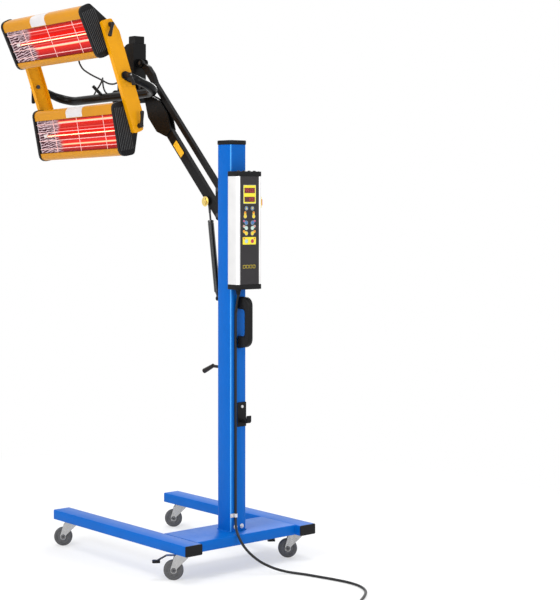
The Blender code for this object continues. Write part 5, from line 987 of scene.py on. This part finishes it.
# Arm, link and gas spring
springTop = columnFoot + Vector((-0.138, 0, 1.41))
screwHeads("springNuts", [(springTop + Vector((0, side * out, 0)), (0, side, 0)) for side,
                          out in ((-1, 0.0192), (1, 0.0147))], 0.015, 0.0056, yellowZinc, "main_arm")
armTop = jointAt["head_level"]
pinHeads = {"arm_bracket": [(columnFoot + Vector((-0.0655, 0, z)), 0.0155) for z in (1.356, 1.456)],
            "head_bracket": [(armTop + Vector((0, 0, 0.1)), 0.016)], "main_arm": [(armTop, 0.0146)],
            "arm_link": []}
for node, width in (("arm_bracket", 0.0007), ("arm_link", 0.0014), ("head_bracket", 0.0009),
                    ("main_arm", 0.001)):
    patches = [(within(point + Vector((0, side * out, 0)), (0, side, 0), 0.0093, -0.0002, 0.006), darkSteel)
               for point, out in pinHeads[node] for side in (-1, 1)]
    if node == "main_arm":
        patches += [(within(springTop, (0, side, 0), 0.0126, 0.0099, 0.03), yellowZinc) for side in (-1, 1)]
    refined(node, blackPowder, width, patches, segments=3)
refined("column_lever", leverPlastic, 0.0006)
armHeading = (armTop - jointAt["arm_lift"]).normalized()
armPatch = {
    "along": 0.365, "half": (0.036, 0.014), "round": 0.0015, "thick": 0.0002, "out": 0.0102, "lean": 46.6}
patchTurn = Matrix.Rotation(math.pi + math.radians(armPatch["lean"]), 4, "Y")
for label, side in (("Near", -1), ("Far", 1)):
    halfLong, halfHigh = armPatch["half"]
    blank = slab(oblong(-halfLong, halfLong, -halfHigh, halfHigh, armPatch["round"], 4), -armPatch["thick"],
                 armPatch["thick"], "Y")
    patchAt = jointAt["arm_lift"] + armHeading * armPatch["along"] + Vector((0, side * armPatch["out"], 0))
    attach(pieceFrom("armPatch" + label, blank, patchAmber, Matrix.Translation(patchAt) @ patchTurn),
            "main_arm")
springPlace = Matrix.Translation(jointAt["spring_lean"]) @ Matrix.Rotation(math.atan2(-0.055, 0.38), 4, "Y")
springSize = {
    "tube": 0.012, "start": 0.026, "end": 0.309, "rod": 0.004, "sleeve": 0.0048, "length": 0.38396,
    "eye": 0.009, "topEye": 0.0105, "half": 0.005, "bore": 0.0033, "topBore": 0.007}
tube, start, end, rod, sleeve, length, eye, topEye, half, bore, topBore = springSize.values()
barrel = lathe([(0.0052, eye - 0.002), (0.0058, 0.015), (0.0088, start - 0.002), (tube - 0.0012, start),
                (tube, start + 0.0016), (tube, end - 0.012), (tube - 0.0006, end - 0.0112),
                (tube - 0.0006, end - 0.0092), (tube, end - 0.0084), (tube, end - 0.003),
                (tube - 0.0014, end), (rod + 0.0004, end), (rod + 0.0004, end - 0.008), (0.003, end - 0.008)],
               56)


def eyeRing(radius, bore, into, place):
    profile = filleted(((bore, -half, 0.0004), (radius, -half, 0.0009), (radius, half, 0.0009),
                        (bore, half, 0.0004)), 3)
    lathe(profile, 40, into, place @ Matrix.Rotation(math.pi / 2, 4, "X"))


eyeRing(eye, bore, barrel, Matrix())
dress(pieceFrom("gasCylinderBody", barrel, blackGloss, springPlace), "gas_cylinder")
piston = lathe([(0, 0.252), (rod, 0.252), (rod, length - 0.046), (sleeve, length - 0.045),
                (sleeve, length - 0.0085), (0, length - 0.0085)], 32)
eyeRing(topEye, topBore, piston, Matrix.Translation((0, 0, length)))
dress(pieceFrom("gasRodBody", piston, rodBlack, springPlace), "gas_rod")
print("arm dressed")

# The head's own axes: roll, frame tilt and the two cassette tilts
headTurn = Matrix.Rotation(math.radians(-0.9), 4, "Y")


def onHead(joint, tilt=0.0):
    return Matrix.Translation(jointAt[joint]) @ headTurn @ Matrix.Rotation(math.radians(tilt), 4, "X")


rollPlace, framePlace = onHead("head_roll"), onHead("frame_tilt", 19.4)

# Yoke: bent tube, ends pressed flat
yokeSize = {
    "radius": 0.016, "leg": 0.3283, "back": 0.086, "tilt": (-0.016, -0.25, 0.0577), "bend": 0.075,
    "legEnd": 0.058, "swell": 0.0028, "hub": 0.028, "hubEnd": 0.0333, "stud": 0.01, "screw": 0.0038,
    "stubAt": -0.068, "stub": 0.007, "stubLength": 0.07, "stubLean": math.radians(36)}
tiltPoint, yokeBack, bend = Vector(yokeSize["tilt"]), yokeSize["back"], yokeSize["bend"]
legRun = Vector((0, -yokeBack - tiltPoint.y, -tiltPoint.z))
legWay = legRun.normalized()
legSide = Vector((0, -legWay.z, legWay.y))


def halfBow(side):  # one leg and its bend, from the flat end to the middle
    middle = tiltPoint + Vector((side * (yokeSize["leg"] - bend), 0, 0)) + legWay * (legRun.length - bend)
    angles = [math.pi / 2 * step / 16 for step in range(17)]
    return [tiltPoint + Vector((side * yokeSize["leg"], 0, 0)) + legWay * yokeSize["legEnd"],
            *(middle + (Vector((side * math.cos(angle), 0, 0)) + legWay * math.sin(angle)) * bend
              for angle in angles)]


bowPoints = [*halfBow(1), *reversed(halfBow(-1))]
swell = [min(1.0, min(step, len(bowPoints) - 1 - step) / 6) * yokeSize["swell"]
         for step in range(len(bowPoints))]
bow = pipe(bowPoints, [yokeSize["radius"] + more for more in swell], 48)
# Each ring of a pressed end: along the leg, middle, half thickness, half width, squareness
pressed = (
    (0.06, 0.3283, 0.016, 0.016, 1.0), (0.052, 0.3281, 0.0158, 0.0162, 1.0),
    (0.044, 0.3268, 0.0142, 0.017, 0.9), (0.036, 0.3228, 0.0102, 0.0183, 0.7),
    (0.029, 0.3183, 0.0059, 0.019, 0.5), (0.023, 0.3164, 0.004, 0.0188, 0.4),
    (0.0, 0.3163, 0.004, 0.017, 0.4), (-0.008, 0.3163, 0.004, 0.015, 0.4),
    (-0.0135, 0.3163, 0.0039, 0.0104, 0.4), (-0.0168, 0.3163, 0.0036, 0.004, 0.5))
for side in (1, -1):
    rings = []
    for along, middle, thick, wide, power in pressed:
        rings.append([])
        for a, b in circle(0, 0, 1, 40):
            a, b = (math.copysign(abs(part) ** power, part) * size for part, size in ((a, thick), (b, wide)))
            rings[-1].append(tiltPoint + Vector((side * (middle + a), 0, 0)) + legWay * along + legSide * b)
    skin(rings, bow)
hub, hubEnd, stud = yokeSize["hub"], yokeSize["hubEnd"], yokeSize["stud"]
lathe([(0, yokeBack - 0.004), (hub - 0.002, yokeBack - 0.004), (hub, yokeBack - 0.006),
       (hub, hubEnd + 0.0012), (hub - 0.0012, hubEnd), (stud, hubEnd), (stud, -0.03), (stud - 0.001, -0.0312),
       (0, -0.0312)], 64, bow, Matrix.Rotation(math.pi / 2, 4, "X"))
lean, stub, stubLength = yokeSize["stubLean"], yokeSize["stub"], yokeSize["stubLength"]
stubWay = Vector((-math.cos(lean) * math.sin(lean), -math.sin(lean), math.cos(lean))).normalized()
stubStart = Vector((yokeSize["stubAt"], -yokeBack, 0))
pipe([stubStart + stubWay * along for along in (0, stubLength - 0.001, stubLength)],
     [stub, stub, stub - 0.0008], 28, bow)
dress(pieceFrom("yokeBody", bow, blackPowder, rollPlace, 40), "yoke")
screwHeads("hubScrew", [(rollPlace @ Vector((0, yokeSize["screw"] - yokeBack, 0)), (0, -1, 0))], 0.0075,
           0.004, darkSteel, "yoke")

# Clamp levers: each with its joint, side, hub length, lever length and angle
leverSize = {
    "hub": 0.01, "hubEnd": 0.0085, "lean": math.radians(12), "bow": 0.002, "bore": 0.003,
    "sizes": ((0, 0.008), (0.16, 0.0074), (0.34, 0.0064), (0.62, 0.007), (0.84, 0.008), (0.94, 0.008),
              (0.985, 0.0062), (1.0, 0.003))}
levers = {
    "right_clamp_lever": ("right_clamp_turn", 1, 0.034, 0.044, -109),
    "left_clamp_lever": ("left_clamp_turn", -1, 0.034, 0.07, -99),
    "upper_tilt_lever": ("upper_tilt_clamp_turn", 1, 0.02, 0.056, -66),
    "lower_tilt_lever": ("lower_tilt_clamp_turn", 1, 0.02, 0.06, 85)}
for node, (joint, side, hubLength, length, angle) in levers.items():
    angle, lean = math.radians(angle), leverSize["lean"]
    way = Vector((side * math.sin(lean), -math.cos(angle) * math.cos(lean), math.sin(angle) * math.cos(lean)))
    base, end, bore = leverSize["hub"], leverSize["hubEnd"], leverSize["bore"]
    shape = lathe([(0.0043, 0), (base - 0.0006, 0), (base, 0.0006), (base, 0.003), (base - 0.0008, 0.0036),
                   (end + 0.0004, hubLength * 0.62), (end + 0.0006, hubLength - 0.003),
                   (end - 0.0006, hubLength - 0.0006), (end - 0.0022, hubLength), (bore, hubLength),
                   (bore, hubLength - 0.0008), (0, hubLength - 0.0008)], 40, None,
                  Matrix.Rotation(side * math.pi / 2, 4, "Y"))
    start = Vector((side * hubLength * 0.72, 0, 0))
    points = [start + way * length * share
              + Vector((side * leverSize["bow"] * math.sin(math.pi * share), 0, 0)) for share,
              size in leverSize["sizes"]]
    pipe(points, [size for share, size in leverSize["sizes"]], 28, shape)
    place = onHead(joint)
    dress(pieceFrom(node + "Body", shape, leverPlastic, place, 40), node)
    face = place @ Vector((side * (hubLength - 0.0004), 0, 0))
    screwHeads(node + "Screw", [(face, (side, 0, 0))], 0.0022, 0.0011, zincPlate, bodyOf[node], 16)
print("yoke and levers dressed")

# Side arms
sideArm = {"screw": 0.3125, "straight": 0.219, "kept": 0.42}
axisX = framePlace.to_3x3() @ Vector((1, 0, 0))


def shortEnds(point):  # the arms' ends drawn shorter beyond the pivots
    local = framePlace.inverted() @ point
    beyond = max(0.0, abs(local.z) - sideArm["straight"])
    local.z -= math.copysign(beyond * (1 - sideArm["kept"]), local.z)
    return framePlace @ local


for node, side in (("right_side_arm", 1), ("left_side_arm", -1)):
    spot, way = framePlace @ Vector((side * sideArm["screw"], 0, 0)), axisX * side
    refined(node, yellowPowder, 0.0009,
            [(within(spot, way, 0.0046, -0.0004, 0.05), zincPlate),
             (within(spot, way, 0.009, -0.0098, -0.0034), darkSteel)], 3, shortEnds)

# Cassettes
cassetteSize = {
    "half": 0.2905, "cap": 0.014, "plane": -0.087, "top": 0.0645, "bottom": -0.0745, "fit": 0.0022,
    "depth": 0.046, "wall": 0.0012, "endAir": 0.0003, "plate": 0.0014, "rows": 36, "columns": 48,
    "screw": 0.3124, "rib": (0.086, 0.0011, 8, 0.0085), "ribY": -0.0908, "lampY": -0.058, "lamp": 0.0055,
    "filament": (150, 8), "coil": 0.0012, "wire": 0.0008, "guard": 0.0013, "guardY": -0.0895,
    "crossShares": (0.22, 0.53, 0.86), "longWires": 4, "tilt": {"upper": 25.4, "lower": 10.8},
    "patch": {"upper": (-0.072, 0.032), "lower": (-0.044, 0.07)}, "fold": (-0.073, 0.084, 0.0222)}
# The reflectors' painted bands of lamp light, from the top edge down
paintedLightBands = {
    "upper": ((0.0, (0.05, 0.001, 0.006)), (0.06, (0.3, 0.003, 0.004)), (0.16, (0.82, 0.006, 0.004)),
              (0.25, (0.55, 0.004, 0.004)), (0.27, (0.95, 0.16, 0.14)), (0.29, (0.5, 0.003, 0.003)),
              (0.4, (0.88, 0.008, 0.004)), (0.6, (0.42, 0.003, 0.003)), (0.62, (0.9, 0.13, 0.11)),
              (0.64, (0.66, 0.005, 0.003)), (0.7, (0.86, 0.01, 0.004)), (0.716, (1.5, 0.86, 0.5)),
              (0.742, (1.5, 0.86, 0.5)), (0.76, (0.8, 0.008, 0.004)), (0.88, (0.45, 0.003, 0.004)),
              (1.0, (0.09, 0.001, 0.01))),
    "lower": ((0.0, (0.2, 0.002, 0.006)), (0.06, (0.8, 0.01, 0.005)), (0.078, (1.5, 0.86, 0.5)),
              (0.102, (1.5, 0.86, 0.5)), (0.12, (0.78, 0.008, 0.004)), (0.28, (0.42, 0.003, 0.003)),
              (0.3, (0.92, 0.15, 0.12)), (0.32, (0.55, 0.004, 0.003)), (0.42, (0.9, 0.009, 0.004)),
              (0.6, (0.45, 0.003, 0.003)), (0.72, (0.72, 0.006, 0.004)), (0.775, (0.86, 0.01, 0.004)),
              (0.79, (1.5, 0.84, 0.48)), (0.815, (1.5, 0.84, 0.48)), (0.83, (0.74, 0.007, 0.004)),
              (1.0, (0.1, 0.001, 0.01)))}
paintedSilverStops = (
    (0.0, (0.008, 0.002, 0.004)), (0.42, (0.035, 0.004, 0.01)), (0.58, (0.2, 0.045, 0.065)),
    (0.74, (0.48, 0.26, 0.31)), (0.9, (0.86, 0.68, 0.72)))


# Mirror metal with the tube's red light painted on as emission, a painted silvery reflection near the left
# end and the painted light dimmed on the right end plate. u runs along it, v from the top edge down
def reflectorLook(name, stops):
    red = (0.16, 0.008, 0.006)
    look = Look(name, red, 0.24, 0.35)
    u = look.node("ShaderNodeSeparateXYZ", {}, [look.node("ShaderNodeTexCoord", output="UV")])
    v = u.beside(1)
    ripple = look.grain(1.0, 3.0, look.place((9.0, 5.0, 1.0), "UV"))
    glow = look.node("ShaderNodeValToRGB", {"stops": stops}, [v + ripple * 0.012 - 0.006])
    fan = (v - 0.5).maths("ABSOLUTE") * -0.42 + u * 1.4
    spread = look.node("ShaderNodeCombineXYZ", {}, [u * 3.0, v + u * (v - 0.5) * 2.6, 0.0])
    teeth = look.node("ShaderNodeTexWave", {"wave_type": "BANDS", "bands_direction": "Y"},
                      {"Vector": spread, "Scale": 3.6, "Distortion": 5.0, "Detail": 2.0, "Detail Scale": 2.4})
    paintedSilverReflection = look.node("ShaderNodeValToRGB", {"stops": paintedSilverStops}, [teeth])
    paintedSilverReflection = look.between(look.smooth(u, 0.012, 0.024, 1.0, 0.0), paintedSilverReflection, (0.8, 0.72, 0.76))
    left = look.smooth(fan + ripple * 0.1, 0.2, 0.3, 1.0, 0.0)
    # the right end plate dims the painted light: painted shade
    right = look.smooth(u, 0.94, 1.0, 0.0, 0.85)
    look.give("Base Color", look.between(left, red, (0.07, 0.045, 0.05)))
    look.give("Emission Color", look.between(right, look.between(left, glow, paintedSilverReflection), (0.05, 0.003, 0.03)))
    look.give("Emission Strength", 0.92)
    look.give("Roughness", ripple * 0.2 + 0.2)
    look.give("Specular IOR Level", 0.25)
    look.bump(teeth, 0.1, 0.0006)
    return look


tubeGlow = glowing("lampGlow", (0.5, 0.02, 0.008), (0.9, 0.04, 0.01), 0.55, 0.08)
filamentGlow = glowing("filamentGlow", (1.0, 0.85, 0.6), (1.0, 0.66, 0.36), 2.4, 0.3)
ceramic = mouldedPlastic("ceramicEnd", (0.78, 0.74, 0.7), 0.55, 0.12)
# The guard wires glow pink: painted light from the lamp on them
guardWire = glowing("guardWire", (0.8, 0.56, 0.54), (0.85, 0.34, 0.3), 0.35, 0.26)
plane, depth, wall, rows, columns = (cassetteSize[key]
                                     for key in ("plane", "depth", "wall", "rows", "columns"))
lampY, lampRadius, guardY = (cassetteSize[key] for key in ("lampY", "lamp", "guardY"))
troughEnd = cassetteSize["half"] - cassetteSize["cap"] - cassetteSize["endAir"]
troughTop = cassetteSize["top"] - cassetteSize["fit"]
troughBottom = cassetteSize["bottom"] + cassetteSize["fit"]
troughMiddle, troughHalf = (troughTop + troughBottom) / 2, (troughTop - troughBottom) / 2


def troughRow(row, inset=0.0):  # depth and height of one row of the parabola, from its top edge down
    share = 1 - 2 * row / rows
    inward = plane + depth * (1 - share * share) - inset * (1 - abs(share))
    return inward, troughMiddle + share * (troughHalf - inset)


def trough():  # a parabolic sheet with end plates, its UV map running along and down it
    shape = bmesh.new()
    uv = shape.loops.layers.uv.new("UVMap")
    width = 2 * troughEnd - 0.0018
    across = [-troughEnd + 0.0009 + width * column / columns for column in range(columns + 1)]
    sheets = [[[shape.verts.new((x, *troughRow(row, inset))) for x in across] for row in range(rows + 1)]
              for inset in (0.0, wall)]
    for sheet in sheets:
        for row in range(rows):
            for column in range(columns):
                corners = ((row, column), (row, column + 1), (row + 1, column + 1), (row + 1, column))
                face = shape.faces.new([sheet[a][b] for a, b in corners])
                for loop, (a, b) in zip(face.loops, corners):
                    loop[uv].uv = (0.03 + 0.97 * b / columns, a / rows)
    rim = [*((0, column) for column in range(columns)), *((row, columns) for row in range(rows)),
           *((rows, columns - column) for column in range(columns)),
           *((rows - row, 0) for row in range(rows))]
    for (a, b), (c, d) in zip(rim, [*rim[1:], rim[0]]):
        face = shape.faces.new([sheets[0][a][b], sheets[0][c][d], sheets[1][c][d], sheets[1][a][b]])
        for loop in face.loops:
            loop[uv].uv = (b / columns, a / rows)
    bmesh.ops.recalc_face_normals(shape, faces=shape.faces)
    for side in (-1, 1):
        before = len(shape.faces)
        slab([troughRow(row) for row in range(rows + 1)], side * troughEnd,
             side * (troughEnd - cassetteSize["plate"]), "X", shape)
        shape.faces.ensure_lookup_table()
        for face in shape.faces[before:]:
            for loop in face.loops:
                inward = (loop.vert.co.y - plane) / depth
                loop[uv].uv = (0.015 + 0.1 * inward if side < 0 else 0.98,
                               (troughTop - loop.vert.co.z) / (troughTop - troughBottom))
    return shape


def shellPatch(first, last):  # a blank strip folded over the shell's top edge
    y, z, radius = cassetteSize["fold"]
    angles = [math.radians(angle) for angle in range(10, 91, 10)]
    outer = [(-0.095, 0.0668), (-0.0952, 0.084),
             *((y - radius * math.cos(angle), z + radius * math.sin(angle)) for angle in angles),
             (-0.056, 0.1062)]
    inner = [(a + (0.0003 if a < -0.09 else 0.0), b - (0.0003 if b > 0.1 else 0.0)) for a,
             b in reversed(outer)]
    return slab(outer + inner, first, last)


def capAndRibs(name, label, side, place):
    way = place.to_3x3() @ Vector((side, 0, 0))
    screw = within(place @ Vector((side * cassetteSize["screw"], 0, 0)), way, 0.01, -0.0002, 0.05)
    refined(f"{name}_cassette_{label}_cap", blackPlastic, 0.0006, [(screw, zincPlate)])
    # the ribs are lighter grey than the black cap: painted highlights
    ribHalf, ribRadius, ribCount, ribStep = cassetteSize["rib"]
    ribs = pathObject(f"{name}{label.title()}Ribs", [[(0, 0, -ribHalf), (0, 0, ribHalf)]])
    grown(ribs, tubeTree, {"Radius": ribRadius, "Sides": 10}, ribPlastic)
    grown(ribs, rowTree, {"Count": ribCount, "Step": Vector((0, ribStep, 0))}, ribPlastic)
    ribs.data.transform(place @ Matrix.Translation((side * cassetteSize["half"], cassetteSize["ribY"], 0)))
    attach(ribs, name + "_cassette")


def lampInside(name, place):  # glass tube, wound filament and the two end holders
    body, end = name + "_cassette", troughEnd - 0.0018
    lampTurn = Matrix.Translation((0, lampY, troughMiddle)) @ Matrix.Rotation(math.pi / 2, 4, "Y")
    glass = lathe([(0, 0.024 - end), (lampRadius * 0.9, 0.024 - end), (lampRadius, 0.03 - end),
                   (lampRadius, end - 0.03), (lampRadius * 0.9, end - 0.024), (0, end - 0.024)], 40, None,
                  lampTurn)
    dress(pieceFrom(name + "LampGlass", glass, tubeGlow, place), name + "_lamp_tube")
    turns, perTurn = cassetteSize["filament"]
    coil, last = [], turns * perTurn
    for step in range(last + 1):
        angle = 2 * math.pi * step / perTurn
        coil.append(place @ Vector((-end + 0.03 + (2 * end - 0.06) * step / last,
                                    lampY - lampRadius + 0.0006 + cassetteSize["coil"] * math.cos(angle),
                                    troughMiddle + cassetteSize["coil"] * math.sin(angle))))
    filament = grown(pathObject(name + "Filament", [coil]), tubeTree,
                     {"Radius": cassetteSize["wire"], "Sides": 6}, filamentGlow)
    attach(filament, body)
    holders = bmesh.new()
    for side in (-1, 1):
        profile = (
            (0, 0), (0.0074, 0), (0.008, 0.0006), (0.008, 0.019), (0.0068, 0.021), (0.0068, 0.0245),
            (0, 0.0245))
        lathe([(radius, side * (end - inward)) for radius, inward in profile], 36, holders, lampTurn)
    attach(pieceFrom(name + "LampHolders", holders, ceramic, place), body)


def guard(name, place):
    low, high, reach = cassetteSize["bottom"] + 0.0003, cassetteSize["top"] - 0.0003, troughEnd - 0.0003
    chains = []
    for share in cassetteSize["crossShares"]:
        x = share * 2 * reach - reach
        chains.append([(x, guardY + 0.0012, low), (x, guardY + 0.0012, high)])
    for count in range(cassetteSize["longWires"]):
        z = low + (count + 0.5) / cassetteSize["longWires"] * (high - low)
        chains.append([(-reach, guardY - 0.0009, z), (reach, guardY - 0.0009, z)])
    dressedTube(name + "GuardWires", [[place @ Vector(point) for point in chain] for chain in chains],
                cassetteSize["guard"], guardWire, name + "_wire_guard", 12)


for name, tilt in cassetteSize["tilt"].items():
    place = onHead(name + "_cassette_tilt", tilt)
    refined(name + "_cassette_shell", yellowShellShaded, 0.0006, segments=3)
    for label, side in (("right", 1), ("left", -1)):
        capAndRibs(name, label, side, place)
    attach(pieceFrom(name + "ShellPatch", shellPatch(*cassetteSize["patch"][name]), patchWhite, place, 50),
            name + "_cassette")
    look = reflectorLook(name + "Reflector", paintedLightBands[name])
    dress(pieceFrom(name + "ReflectorBody", trough(), look, place, 40), name + "_reflector")
    lampInside(name, place)
    guard(name, place)
print("cassettes dressed")

# Head leads: the upper one is baked where it is laid and not joined to its cassette, the lower one goes with
# its own part
leadSize = {"radius": 0.0035, "spacing": 0.004}
leadRoutes = {
    "upper_head_lead": ((-0.609, -0.296, 1.999), (-0.6085, -0.295, 1.982), (-0.603, -0.293, 1.966),
                        (-0.587, -0.289, 1.946), (-0.562, -0.282, 1.93), (-0.536, -0.275, 1.9165),
                        (-0.51, -0.268, 1.905), (-0.4866, -0.262, 1.8943), (-0.466, -0.26, 1.8855),
                        (-0.445, -0.259, 1.8795), (-0.4188, -0.258, 1.8776), (-0.395, -0.257, 1.882),
                        (-0.376, -0.256, 1.886), (-0.3615, -0.256, 1.887)),
    "lower_head_lead": ((-0.694, -0.093, 1.8626), (-0.706, -0.093, 1.8712), (-0.718, -0.092, 1.888),
                        (-0.726, -0.09, 1.908), (-0.733, -0.086, 1.923), (-0.7409, -0.08, 1.93),
                        (-0.75, -0.076, 1.923), (-0.765, -0.074, 1.907), (-0.783, -0.072, 1.893),
                        (-0.8, -0.07, 1.882), (-0.818, -0.066, 1.869), (-0.836, -0.062, 1.856),
                        (-0.85, -0.058, 1.843))}
for node, route in leadRoutes.items():
    points = [point + columnFoot for point in smoothPath(route, leadSize["spacing"])]
    lead = grown(pathObject(node + "Run", [points]), tubeTree, {"Radius": leadSize["radius"], "Sides": 20},
                 cableRubber)
    if node == "upper_head_lead":
        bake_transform(lead)
        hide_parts(node)
    else:
        dress(lead, node)
print("head leads laid")
